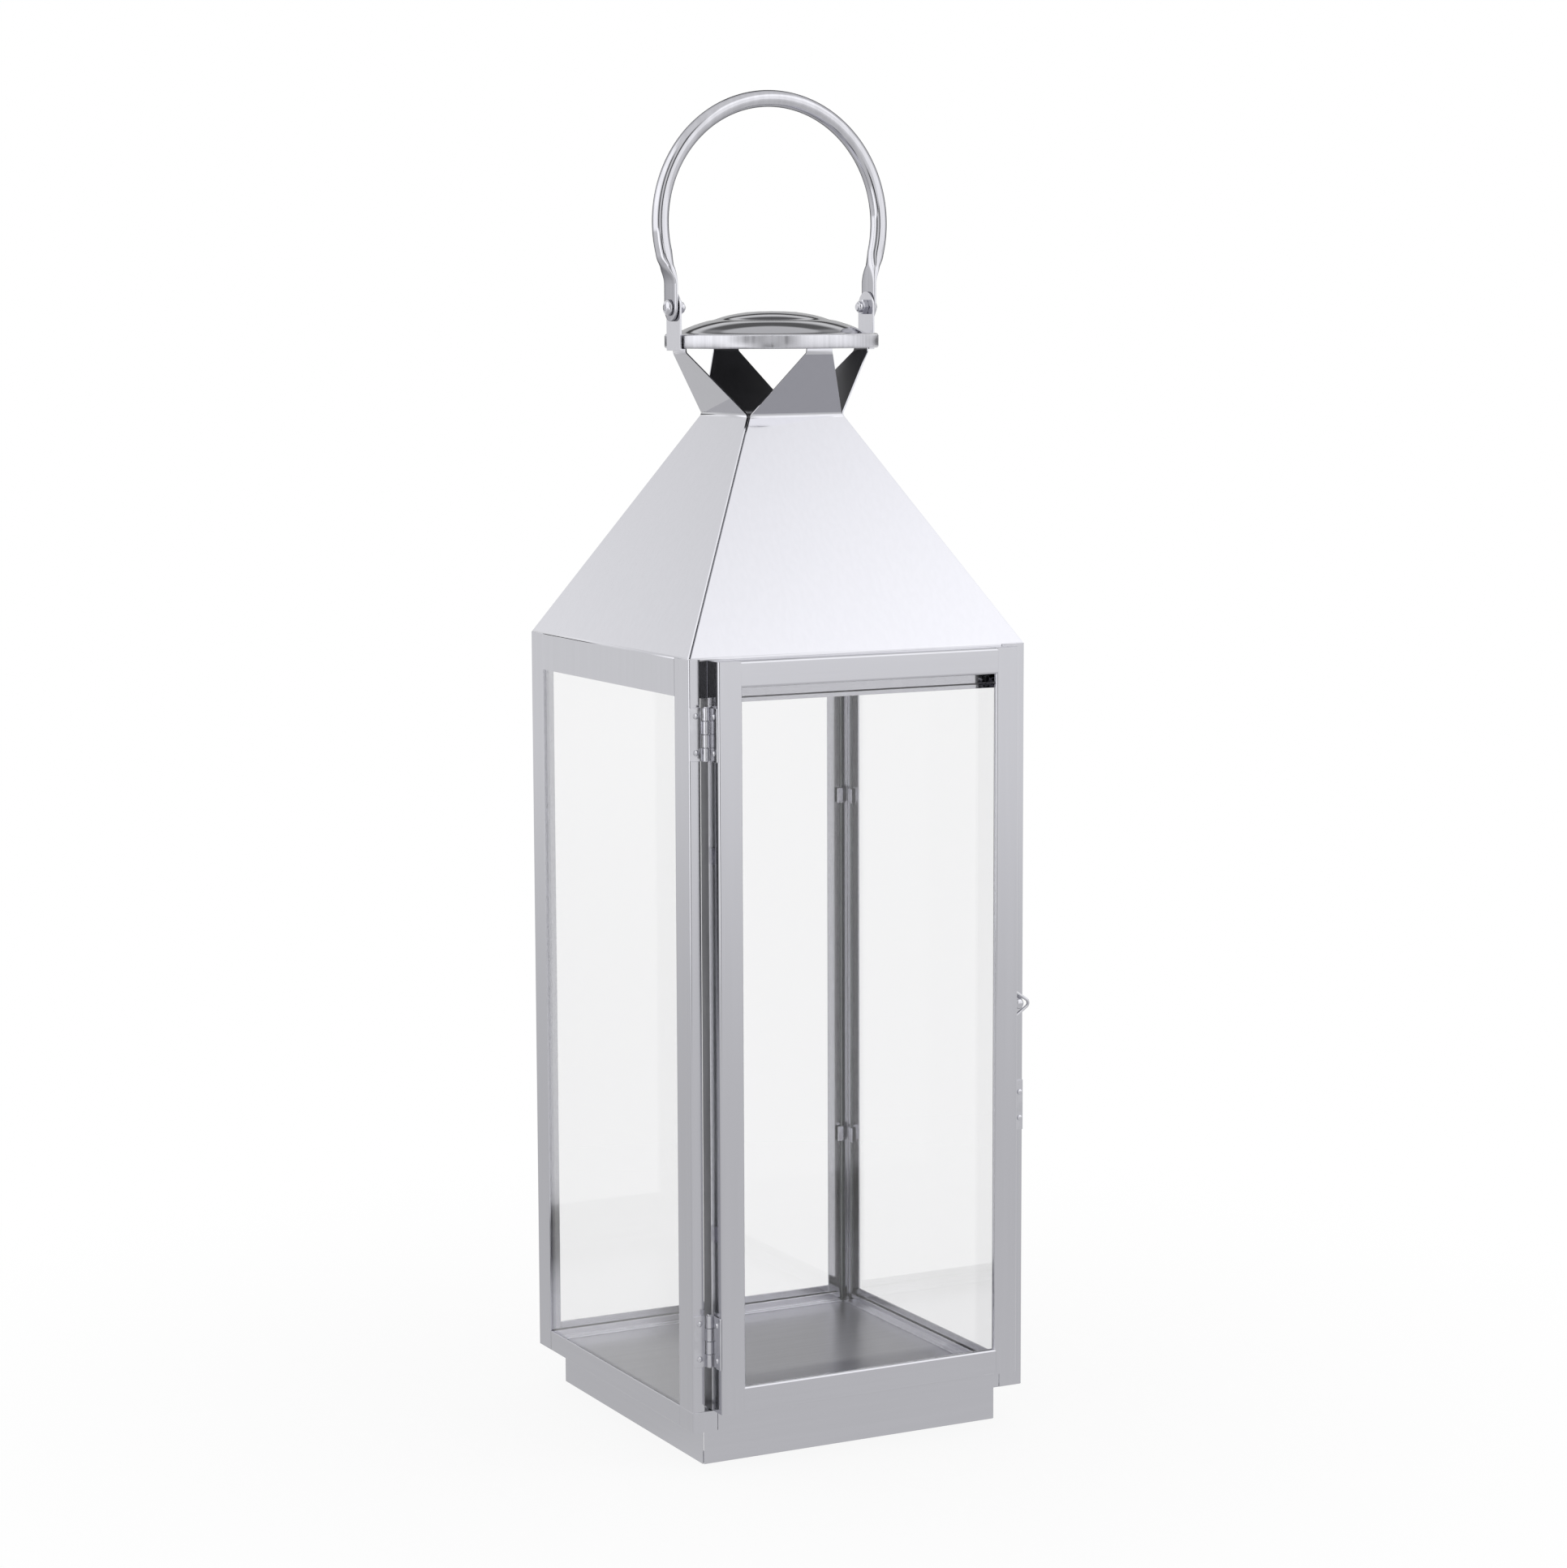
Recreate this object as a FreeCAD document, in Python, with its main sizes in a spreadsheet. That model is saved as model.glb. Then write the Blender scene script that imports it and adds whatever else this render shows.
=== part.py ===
import FreeCAD, Part
import math
import os
import Sketcher

# Candle lantern of folded stainless sheet, in millimetres, +Z up.
# The origin is the centre of the plinth's footprint, on the surface it stands on.
# The door is the -Y side, hinged at its -X edge. The handle swings about an axis along X.

SIZES = {
    # Folded sheet, common to the whole frame
    "sheet": 0.8,
    "seam": 0.3,
    # Plinth and body
    "body_width": 180,
    "body_height": 366,
    "plinth_inset": 10,
    "plinth_height": 19,
    "plinth_hem": 9,
    "rail_height": 10,
    "rail_flange": 12,
    "sill_ledge": 10,
    "post_front_leg": 13,
    "post_side_leg": 15,
    "hinge_strip": 5.5,
    # Roof, vents and cap
    "roof_flange": 18,
    "roof_rise": 109,
    "fold_radius": 2,
    "neck_width": 52,
    "vent_rise": 30,
    "tab_reach": 50,
    "tab_width": 14,
    "tab_top_width": 12.4,
    "cap_radius": 52,
    "cap_gap": 2,
    "rim_height": 7,
    "rim_roll": 1,
    "cap_rise": 10.6,
    "boss_radius": 26,
    "boss_drop": 3.4,
    "cap_flat": 5,
    # Handle and its pivots
    "ear_width": 15,
    "ear_sheet": 1,
    "ear_play": 0.2,
    "pivot_rise": 12.5,
    "handle_tube": 8,
    "handle_radius": 59.4,
    "handle_rise": 40.5,
    "bow_over": 14,
    "tube_flat": 0.2,
    "paddle_width": 13,
    "paddle_thickness": 1.6,
    "paddle_rise": 11,
    "screw_diameter": 4,
    "screw_head": 7.8,
    "screw_head_height": 2.4,
    "screw_end": 0.6,
    "screw_fit": 0.08,
    "nut_flats": 7,
    "nut_height": 2.8,
    "nut_collar": 5.4,
    "nut_collar_height": 1.6,
    # Fixed glass
    "glass": 2,
    "glass_play": 0.3,
    "glass_lap": 8,
    "glass_drop": 3,
    "bead_height": 4.5,
    "bead_foot": 4,
    "clip_width": 8,
    "clip_base": 3,
    "clip_lap": 3,
    "clip_sheet": 0.6,
    # Door
    "door_margin": 9.8,
    "door_depth": 11,
    "door_face": 12.5,
    "door_gap": 0.3,
    "door_lift": 0.4,
    "door_drop": 0.6,
    "door_back_depth": 8,
    "door_back_play": 0.6,
    "door_back_lip": 2,
    # Hinges and rivets
    "hinge_height": 25,
    "hinge_inset": 21.5,
    "hinge_play": 0.3,
    "leaf_sheet": 0.8,
    "leaf_gap": 0.2,
    "post_leaf_width": 7.4,
    "door_leaf_width": 8.8,
    "knuckle": 3.2,
    "knuckle_gap": 0.2,
    "hinge_pin": 1.5,
    "pin_fit": 0.05,
    "pin_head": 2.4,
    "pin_head_height": 0.5,
    "rivet": 1.6,
    "rivet_fit": 0.05,
    "rivet_head": 2.8,
    "rivet_head_height": 0.6,
    "rivet_end": 0.4,
    "rivet_pitch": 17,
    "post_rivet_inset": 3.3,
    "door_rivet_reach": 5.4,
    # Latch and strike plate
    "latch_rise": 180.6,
    "latch_offset": 1.9,
    "latch_reach": 3.5,
    "latch_wire": 1.5,
    "latch_fit": 0.08,
    "bail_reach": 10.3,
    "bail_bend": 3.4,
    "bail_leg": 6.6,
    "bail_end": 12.2,
    "eyelet": 3.4,
    "eyelet_low": 8.5,
    "eyelet_length": 3,
    "saddle_width": 5.2,
    "saddle_height": 25,
    "stud": 5.6,
    "stud_height": 5,
    "stud_shank": 2.4,
    "stud_inset": 4.7,
    "strike_width": 7,
    "strike_height": 24.5,
    "strike_edge": 0.6,
    "strike_drop": 50.7,
    "strike_rivet_pitch": 12.8,
    "strike_rivet_inset": 2.4,
}

SIDES = ("front", "right", "back", "left")

# Places worked out from the driving sizes
HALF = "(size.body_width / 2)"
INNER = f"({HALF} - size.sheet)"
FLOOR_Z = "(size.plinth_height + 2 * size.sheet)"
LEDGE_Z = "(size.plinth_height + size.rail_height)"
EAVES_Z = "(size.plinth_height + size.body_height)"
NECK_Z = f"({EAVES_Z} + size.roof_rise)"
TAB_Z = f"({NECK_Z} + size.vent_rise)"
RIM_Z = f"({TAB_Z} + size.cap_gap)"
RIM_TOP_Z = f"({RIM_Z} + size.rim_height)"
PIVOT_Z = f"({RIM_TOP_Z} + size.pivot_rise)"
ARC_Z = f"({PIVOT_Z} + size.handle_rise)"
EAR_OUT = "(size.cap_radius + size.ear_sheet)"
PADDLE_IN = f"({EAR_OUT} + size.ear_play)"
HEAD_IN = f"({PADDLE_IN} + size.paddle_thickness + size.ear_play)"
SCREW_BORE = "(size.screw_diameter / 2 + size.screw_fit)"
PANE_IN = f"({INNER} - size.glass)"
PANE_TOP = f"({EAVES_Z} - size.glass_drop)"
SIDE_SPAN = f"({HALF} - size.post_side_leg)"
FRONT_SPAN = f"({HALF} - size.post_front_leg)"
DOOR_HALF = f"({HALF} - size.door_margin)"
DOOR_INNER = f"({DOOR_HALF} - size.door_face)"
DOOR_BACK = f"({HALF} + size.door_gap)"
DOOR_FRONT = f"({DOOR_BACK} + size.door_depth)"
DOOR_REBATE = f"({DOOR_BACK} + size.glass)"
DOOR_LOW = f"({LEDGE_Z} + size.door_lift)"
DOOR_TOP = f"({EAVES_Z} - size.door_drop)"
KNUCKLE_R = "(size.knuckle / 2)"
HINGE_REACH = f"({KNUCKLE_R} + size.hinge_play)"
HINGE_X = f"(-{DOOR_HALF} - {HINGE_REACH})"
HINGE_Y = f"(-{HALF} - {HINGE_REACH})"
HINGE_LOW = {
    "lower": f"({DOOR_LOW} + size.hinge_inset)",
    "upper": f"({DOOR_TOP} - size.hinge_inset - size.hinge_height)",
}
RIVET_BORE = "(size.rivet / 2 + size.rivet_fit)"
POST_RIVET_X = f"(-{HALF} + size.post_rivet_inset)"
LATCH_X = f"({DOOR_HALF} + size.latch_offset)"
LATCH_Y = f"(-{HALF} - size.latch_reach)"
LATCH_Z = f"({DOOR_LOW} + size.latch_rise)"
STUD_X = f"({HALF} - size.stud_inset)"
STUD_BORE = "(size.stud_shank / 2 + size.rivet_fit)"
STRIKE_Z = f"({LATCH_Z} - size.strike_drop)"
STRIKE_RIVET_X = f"({HALF} - size.strike_rivet_inset)"

DOC = FreeCAD.newDocument("candle_lantern")
SHEET = DOC.addObject("Spreadsheet::Sheet", "size")
PIECES = []


def fill_sheet():
    """Write every driving size to its own cell and name it."""
    for row, (name, value) in enumerate(SIZES.items(), start=1):
        SHEET.set(f"A{row}", name)
        SHEET.set(f"B{row}", str(value))
        SHEET.setAlias(f"B{row}", name)
    DOC.recompute()


def turn_of(side):
    """Angle about Z from the front to a side."""
    return SIDES.index(side) * 360 / len(SIDES)


# Sketch helpers: every point and radius is an expression of the sheet

def number(expression):
    """The present value of an expression."""
    return float(DOC.getObject("probe").evalExpression(expression))


def pin(sketch, kind, edge, point, expression):
    """Hold a sketch point at an expression's distance from the origin."""
    constraint = Sketcher.Constraint(kind, -1, 1, edge, point, number(expression))
    index = sketch.addConstraint(constraint)
    sketch.setExpression(f"Constraints[{index}]", expression)


def hold_radius(sketch, edge, expression):
    """Hold the radius of a circle or arc."""
    index = sketch.addConstraint(Sketcher.Constraint("Radius", edge, number(expression)))
    sketch.setExpression(f"Constraints[{index}]", expression)


def arc_between(start, end, radius, side):
    """Arc of a radius from start to end, bulging to the left (side 1) or right (side -1)."""
    chord = end - start
    across = FreeCAD.Vector(-chord.y, chord.x, 0).normalize()
    rise = (radius ** 2 - (chord.Length / 2) ** 2) ** 0.5
    middle = start + chord / 2 + across * side * (radius - rise)
    return Part.Arc(start, middle, end)


def outline(sketch, points, arcs=None):
    """Closed outline through points, each a pair of expressions.

    arcs gives, for the edge that leaves a numbered point, its radius and the side it bulges to.
    """
    arcs = arcs or {}
    places = [FreeCAD.Vector(number(u), number(v), 0) for u, v in points]
    ends = []
    for index, start in enumerate(places):
        end = places[(index + 1) % len(places)]
        if index in arcs:
            radius, side = arcs[index]
            edge = sketch.addGeometry(arc_between(start, end, number(radius), side))
            forward = sketch.getPoint(edge, 1).distanceToPoint(start) < 1e-6
            hold_radius(sketch, edge, radius)
        else:
            edge = sketch.addGeometry(Part.LineSegment(start, end))
            forward = True
        ends.append((edge, 1 if forward else 2, 2 if forward else 1))
    for index, (u, v) in enumerate(points):
        edge, start, _ = ends[index]
        previous, _, end = ends[index - 1]
        sketch.addConstraint(Sketcher.Constraint("Coincident", previous, end, edge, start))
        pin(sketch, "DistanceX", edge, start, u)
        pin(sketch, "DistanceY", edge, start, v)


def ring(sketch, u, v, radius):
    """Circle about a point."""
    centre = FreeCAD.Vector(number(u), number(v), 0)
    edge = sketch.addGeometry(Part.Circle(centre, FreeCAD.Vector(0, 0, 1), number(radius)))
    hold_radius(sketch, edge, radius)
    pin(sketch, "DistanceX", edge, 3, u)
    pin(sketch, "DistanceY", edge, 3, v)


def slot(sketch, u, reach, radius):
    """Slot along the sketch's second axis: two half circles joined by straight sides."""
    places = ((reach, 0, math.pi), (f"-{reach}", math.pi, 2 * math.pi))
    arcs = []
    for v, begin, finish in places:
        centre = FreeCAD.Vector(number(u), number(v), 0)
        circle = Part.Circle(centre, FreeCAD.Vector(0, 0, 1), number(radius))
        edge = sketch.addGeometry(Part.ArcOfCircle(circle, begin, finish))
        hold_radius(sketch, edge, radius)
        pin(sketch, "DistanceX", edge, 3, u)
        pin(sketch, "DistanceY", edge, 3, v)
        sketch.addConstraint(Sketcher.Constraint("Horizontal", edge, 3, edge, 1))
        sketch.addConstraint(Sketcher.Constraint("Horizontal", edge, 3, edge, 2))
        arcs.append(edge)
    top, bottom = arcs
    for start, end in (((top, 2), (bottom, 1)), ((bottom, 2), (top, 1))):
        side = sketch.addGeometry(Part.LineSegment(sketch.getPoint(*start), sketch.getPoint(*end)))
        sketch.addConstraint(Sketcher.Constraint("Coincident", side, 1, *start))
        sketch.addConstraint(Sketcher.Constraint("Coincident", side, 2, *end))


def mirrored(right):
    """Whole outline from its right half, listed from the lowest point up."""
    left = [(f"-({u})", v) for u, v in reversed(right)]
    return right + left


def blend(start, end, share):
    """Value part of the way from start to end."""
    return f"({start} + ({end} - {start}) * {share})"


def box(low_u, high_u, low_v, high_v):
    """Corners of a rectangle."""
    return [(low_u, low_v), (high_u, low_v), (high_u, high_v), (low_u, high_v)]


# Solid helpers

def piece(name, turn=0, base=("0", "0", "0"), keep=True):
    """Body of one sub-part, turned about Z and moved to a base point."""
    body = DOC.addObject("PartDesign::Body", name)
    body.Label = name
    turned = FreeCAD.Rotation(FreeCAD.Vector(0, 0, 1), turn)
    body.Placement = FreeCAD.Placement(FreeCAD.Vector(0, 0, 0), turned)
    for axis, expression in zip("xyz", base):
        body.setExpression(f"Placement.Base.{axis}", expression)
    if keep:
        PIECES.append(body)
    return body


def new_sketch(body, plane, start="0"):
    """Sketch on one of the body's own origin planes, moved along the plane's normal."""
    support = next(item for item in body.Origin.OriginFeatures if item.Role == f"{plane}_Plane")
    sketch = body.newObject("Sketcher::SketchObject", f"{body.Name}_sketch")
    sketch.AttachmentSupport = [(support, "")]
    sketch.MapMode = "FlatFace"
    sketch.setExpression("AttachmentOffset.Base.z", start)
    DOC.recompute([sketch])
    return sketch


def pad(body, sketch, thickness):
    """Pad a sketch along its plane's normal: +Z on XY, -Y on XZ, +X on YZ."""
    feature = body.newObject("PartDesign::Pad", f"{body.Name}_pad")
    feature.Profile = sketch
    feature.setExpression("Length", thickness)
    return feature


def plate(body, plane, start, thickness, points, hole=None):
    """Pad a straight-sided outline, with a second outline inside it left open."""
    sketch = new_sketch(body, plane, start)
    outline(sketch, points)
    if hole:
        outline(sketch, hole)
    return pad(body, sketch, thickness)


def disc(body, plane, start, thickness, centre, radius):
    """Pad a circle."""
    sketch = new_sketch(body, plane, start)
    ring(sketch, *centre, radius)
    return pad(body, sketch, thickness)


def bore(body, plane, centres, radius, start="0", depth=None):
    """Cut round holes: right through the body, or to a depth against the plane's normal."""
    DOC.recompute()
    solid = body.Shape.Volume
    sketch = new_sketch(body, plane, start)
    for centre in centres:
        ring(sketch, *centre, radius)
    cut = body.newObject("PartDesign::Pocket", f"{body.Name}_bore")
    cut.Profile = sketch
    if depth:
        cut.setExpression("Length", depth)
    else:
        cut.Type = "ThroughAll"
        cut.SideType = "Symmetric"
    DOC.recompute()
    if body.Shape.Volume >= solid:
        raise ValueError(f"{body.Label}: a hole cuts nothing")


def revolve(body, plane, points, axis, arcs=None):
    """Turn an outline about one of its sketch's axes."""
    sketch = new_sketch(body, plane)
    outline(sketch, points, arcs)
    feature = body.newObject("PartDesign::Revolution", f"{body.Name}_turned")
    feature.Profile = sketch
    feature.ReferenceAxis = (sketch, [axis])
    return feature


def group(name, members):
    """One sub-part of several like solids."""
    compound = DOC.addObject("Part::Compound", name)
    compound.Label = name
    compound.Links = members
    PIECES.append(compound)


# Base and body

def plinth_side(side):
    """One side of the plinth: a wall with a hem turned in under it, mitred at both ends."""
    edge = f"({HALF} - size.plinth_inset)"
    body = piece(f"plinth_{side}", turn_of(side))

    def strip(depth):
        front = (f"{edge} - size.seam", f"-{edge}")
        back = (f"{edge} - size.seam - {depth}", f"-{edge} + {depth}")
        return mirrored([front, back])

    plate(body, "XY", "0", "size.plinth_height", strip("size.sheet"))
    plate(body, "XY", "0", "size.sheet", strip("size.plinth_hem"))


def floor_plate():
    """Plate that the candle stands on, over the rails' flanges."""
    body = piece("floor_plate")
    corners = box(f"-{INNER}", INNER, f"-{INNER}", INNER)
    plate(body, "XY", "size.plinth_height + size.sheet", "size.sheet", corners)


def bottom_rail(name, side, span):
    """Rail between two posts, with a flange turned in at its foot to carry the floor."""
    body = piece(name, turn_of(side))
    wall = box(f"-{span}", span, f"-{HALF}", f"-{INNER}")
    plate(body, "XY", "size.plinth_height", "size.rail_height", wall)
    depth = f"({HALF} - size.rail_flange)"
    flange = [
        (span, f"-{HALF}"),
        (span, f"-{INNER}"),
        (f"{INNER} - size.seam", f"-{INNER}"),
        (f"{depth} - size.seam", f"-{depth}"),
    ]
    plate(body, "XY", "size.plinth_height", "size.sheet", mirrored(flange))
    return body


def front_sill():
    """Front rail, with a ledge turned in at its top under the door."""
    body = bottom_rail("sill_front", "front", FRONT_SPAN)
    end = f"{INNER} - size.seam"
    ledge = [
        (FRONT_SPAN, f"-{HALF}"),
        (FRONT_SPAN, f"-{INNER}"),
        (end, f"-{INNER}"),
        (end, f"-({HALF} - size.sill_ledge)"),
    ]
    plate(body, "XY", f"{LEDGE_Z} - size.sheet", "size.sheet", mirrored(ledge))


def angle_section(right, back, front_leg):
    """Section of a corner post: right and back are the corner's signs in X and Y."""
    corner = [
        (HALF, HALF),
        (f"{HALF} - {front_leg}", HALF),
        (f"{HALF} - {front_leg}", INNER),
        (INNER, INNER),
        (INNER, f"{HALF} - size.post_side_leg"),
        (HALF, f"{HALF} - size.post_side_leg"),
    ]
    return [(f"{right} * ({u})", f"{back} * ({v})") for u, v in corner]


def posts():
    """Four corner posts. The hinge side's is cut back to a strip above its foot."""
    signs = {"front_right": (1, -1), "back_left": (-1, 1), "back_right": (1, 1)}
    made = {}
    for corner, (right, back) in signs.items():
        made[corner] = piece(f"post_{corner}")
        section = angle_section(right, back, "size.post_front_leg")
        plate(made[corner], "XY", "size.plinth_height", "size.body_height", section)
    hinge_post = piece("post_front_left")
    foot = angle_section(-1, -1, "size.post_front_leg")
    strip = angle_section(-1, -1, "size.hinge_strip")
    plate(hinge_post, "XY", "size.plinth_height", "size.rail_height", foot)
    plate(hinge_post, "XY", LEDGE_Z, "size.body_height - size.rail_height", strip)
    rivets = [(POST_RIVET_X, height) for low in HINGE_LOW.values() for height in rivet_heights(low)]
    bore(hinge_post, "XZ", rivets, RIVET_BORE)
    latch_post = made["front_right"]
    bore(latch_post, "XZ", [(STUD_X, LATCH_Z)], STUD_BORE)
    bore(latch_post, "XZ", [(STRIKE_RIVET_X, height) for height in strike_rivet_heights()], RIVET_BORE)


# Roof and cap

def roof_profile():
    """Section of a roof sheet: flange, slope, flared vent panel and tab, one sheet thick."""
    neck = "(size.neck_width / 2)"
    run = f"(({HALF} - {neck}) / size.roof_rise)"
    flare = f"((size.tab_reach - {neck}) / size.vent_rise)"
    slope_across = f"(size.sheet * sqrt(1 + {run} ^ 2))"
    flare_across = f"(size.sheet * sqrt(1 + {flare} ^ 2))"
    bend = f"(({flare_across} - {slope_across}) / ({run} + {flare}))"
    flange_low = f"({EAVES_Z} - size.roof_flange)"
    tab_top = f"({RIM_TOP_Z} - size.sheet)"
    tab_inner = "-size.tab_reach + size.sheet"
    outside = [
        (f"-{HALF}", flange_low),
        (f"-{HALF}", EAVES_Z),
        (f"-{neck}", NECK_Z),
        ("-size.tab_reach", TAB_Z),
        ("-size.tab_reach", tab_top),
    ]
    inside = [
        (tab_inner, tab_top),
        (tab_inner, f"{TAB_Z} + ({flare_across} - size.sheet) / {flare}"),
        (f"-{neck} + {slope_across} + {run} * {bend}", f"{NECK_Z} + {bend}"),
        (f"-{INNER}", f"{EAVES_Z} + (size.sheet - {slope_across}) / {run}"),
        (f"-{INNER}", flange_low),
    ]
    return outside + inside, slope_across


def round_folds(body, places, radius):
    """Round the long edges that run along X through places, each a pair of expressions in Y and Z."""
    DOC.recompute()
    sharp = body.Tip
    corners = [FreeCAD.Vector(0, number(y), number(z)) for y, z in places]
    names = []
    for index, edge in enumerate(sharp.Shape.Edges, start=1):
        ends = [FreeCAD.Vector(0, vertex.Point.y, vertex.Point.z) for vertex in edge.Vertexes]
        if any(all(end.distanceToPoint(corner) < 1e-4 for end in ends) for corner in corners):
            names.append(f"Edge{index}")
    if len(names) != len(corners):
        raise ValueError(f"{body.Label}: a fold isn't found")
    fillet = body.newObject("PartDesign::Fillet", f"{body.Name}_fold")
    fillet.Base = (sharp, names)
    fillet.setExpression("Radius", radius)
    DOC.recompute()


def roof_sheet(side, span):
    """Roof sheet: its folded section, as wide as the body, cut to the sheet's outline."""
    name = f"roof_{side}"
    section, across = roof_profile()
    folded = piece(f"{name}_folded", turn_of(side), keep=False)
    plate(folded, "YZ", f"-{HALF}", "size.body_width", section)
    eaves, neck, tab = section[1:4]
    tab_inside, neck_inside, eaves_inside = section[6:9]
    round_folds(folded, (eaves_inside, neck, tab_inside), "size.fold_radius")
    round_folds(folded, (eaves, neck_inside, tab), "size.fold_radius + size.sheet")
    trim = f"({across} + size.seam)"
    flange_low = f"{EAVES_Z} - size.roof_flange"
    above_flange = [
        (f"{HALF} - {trim}", EAVES_Z),
        (f"size.neck_width / 2 - {trim}", NECK_Z),
        ("size.tab_width / 2", TAB_Z),
        ("size.tab_top_width / 2", f"{RIM_TOP_Z} - size.sheet"),
    ]
    # The front flange runs on to the narrow strip of the hinge side's post
    left_span = f"({HALF} - size.hinge_strip)" if side == "front" else span
    flange_right = [(span, flange_low), (span, EAVES_Z)]
    flange_left = [(f"-{left_span}", EAVES_Z), (f"-{left_span}", flange_low)]
    cut = piece(f"{name}_outline", turn_of(side), keep=False)
    points = flange_right + mirrored(above_flange) + flange_left
    plate(cut, "XZ", "-size.sheet", f"{HALF} + 2 * size.sheet", points)
    sheet = DOC.addObject("Part::Common", name)
    sheet.Label = name
    sheet.Base = folded
    sheet.Tool = cut
    PIECES.append(sheet)


def vent_cap():
    """Spun cap: a domed boss, a shallow flare and a rim turned down, hollow underneath."""
    body = piece("vent_cap")
    top = f"({RIM_TOP_Z} + size.cap_rise)"
    boss = f"({top} - size.boss_drop)"
    crown = "((size.boss_radius ^ 2 + size.boss_drop ^ 2) / (2 * size.boss_drop))"
    inner_rim = "(size.cap_radius - size.sheet)"
    shoulder = "(size.cap_radius - size.rim_roll)"
    points = [
        ("0", top),
        ("size.boss_radius", boss),
        (shoulder, RIM_TOP_Z),
        ("size.cap_radius", f"{RIM_TOP_Z} - size.rim_roll"),
        ("size.cap_radius", RIM_Z),
        (inner_rim, RIM_Z),
        (inner_rim, f"{RIM_TOP_Z} - size.sheet"),
        (f"{inner_rim} - size.cap_flat", f"{RIM_TOP_Z} - size.sheet"),
        ("size.boss_radius", f"{boss} - size.sheet"),
        ("0", f"{top} - size.sheet"),
    ]
    revolve(body, "XZ", points, "V_Axis", {0: (crown, 1)})


# Handle and its pivots

def ear(side):
    """Strap outside the rim that carries one end of the handle, hooked under the rim."""
    body = piece(f"ear_{side}", {"right": 0, "left": 180}[side])
    half_width = "(size.ear_width / 2)"
    foot_z = f"({RIM_Z} - size.ear_sheet)"
    strap = box(f"-{half_width}", half_width, foot_z, PIVOT_Z)
    plate(body, "YZ", "size.cap_radius", "size.ear_sheet", strap)
    disc(body, "YZ", "size.cap_radius", "size.ear_sheet", ("0", PIVOT_Z), half_width)
    foot = box("size.tab_reach", EAR_OUT, f"-{half_width}", half_width)
    plate(body, "XY", foot_z, "size.ear_sheet", foot)
    bore(body, "YZ", [("0", PIVOT_Z)], SCREW_BORE)


def tube_section(body, place, tilt, flat, radius):
    """Sketch of the handle's section at a place in X and Z, tilted about Y."""
    x, z = place
    section = new_sketch(body, "XY", z)
    tilted = FreeCAD.Rotation(FreeCAD.Vector(0, 1, 0), 1)
    section.AttachmentOffset = FreeCAD.Placement(FreeCAD.Vector(0, 0, 0), tilted)
    section.setExpression("AttachmentOffset.Base.x", x)
    section.setExpression("AttachmentOffset.Rotation.Angle", f"{tilt} * 1 deg")
    slot(section, "0", flat, radius)
    return section


def handle():
    """Tube bent in a bow past its half circle, its ends flattened to paddles and drilled."""
    body = piece("handle")
    tube_radius = "(size.handle_tube / 2)"
    bow = new_sketch(body, "YZ")
    bow.setExpression("AttachmentOffset.Base.y", ARC_Z)
    ring(bow, "0", "size.handle_radius", tube_radius)
    bend = body.newObject("PartDesign::Revolution", "handle_bow")
    bend.Profile = bow
    bend.ReferenceAxis = (bow, ["H_Axis"])
    bend.Midplane = True
    bend.setExpression("Angle", "(180 + 2 * size.bow_over) * 1 deg")
    bow_x = "(size.handle_radius * cos(size.bow_over * 1 deg))"
    bow_z = f"({ARC_Z} - size.handle_radius * sin(size.bow_over * 1 deg))"
    paddle_z = f"({PIVOT_Z} + size.paddle_rise)"
    paddle_x = f"({PADDLE_IN} + size.paddle_thickness / 2)"
    paddle_radius = "(size.paddle_thickness / 2)"
    paddle_flat = "((size.paddle_width - size.paddle_thickness) / 2)"
    # Shares of the way down at which the tube has moved in and flattened
    stations = ((0, 0, 0), (0.6, 0.47, 0.45), (1, 1, 1))
    for sign in (1, -1):
        sections = []
        for down, moved, flattened in stations:
            place = (f"{sign} * {blend(bow_x, paddle_x, moved)}", blend(bow_z, paddle_z, down))
            tilt = f"({sign} * size.bow_over * {1 - moved})"
            flat = blend("(size.tube_flat / 2)", paddle_flat, flattened)
            radius = blend(tube_radius, paddle_radius, flattened)
            sections.append(tube_section(body, place, tilt, flat, radius))
        end = body.newObject("PartDesign::AdditiveLoft", "handle_end")
        end.Profile = sections[0]
        end.Sections = sections[1:]
        end.Ruled = True
        inner = PADDLE_IN if sign == 1 else f"(-{PADDLE_IN} - size.paddle_thickness)"
        half_width = "(size.paddle_width / 2)"
        flat_end = box(f"-{half_width}", half_width, PIVOT_Z, paddle_z)
        plate(body, "YZ", inner, "size.paddle_thickness", flat_end)
        disc(body, "YZ", inner, "size.paddle_thickness", ("0", PIVOT_Z), half_width)
    bore(body, "YZ", [("0", PIVOT_Z)], SCREW_BORE)


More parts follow.
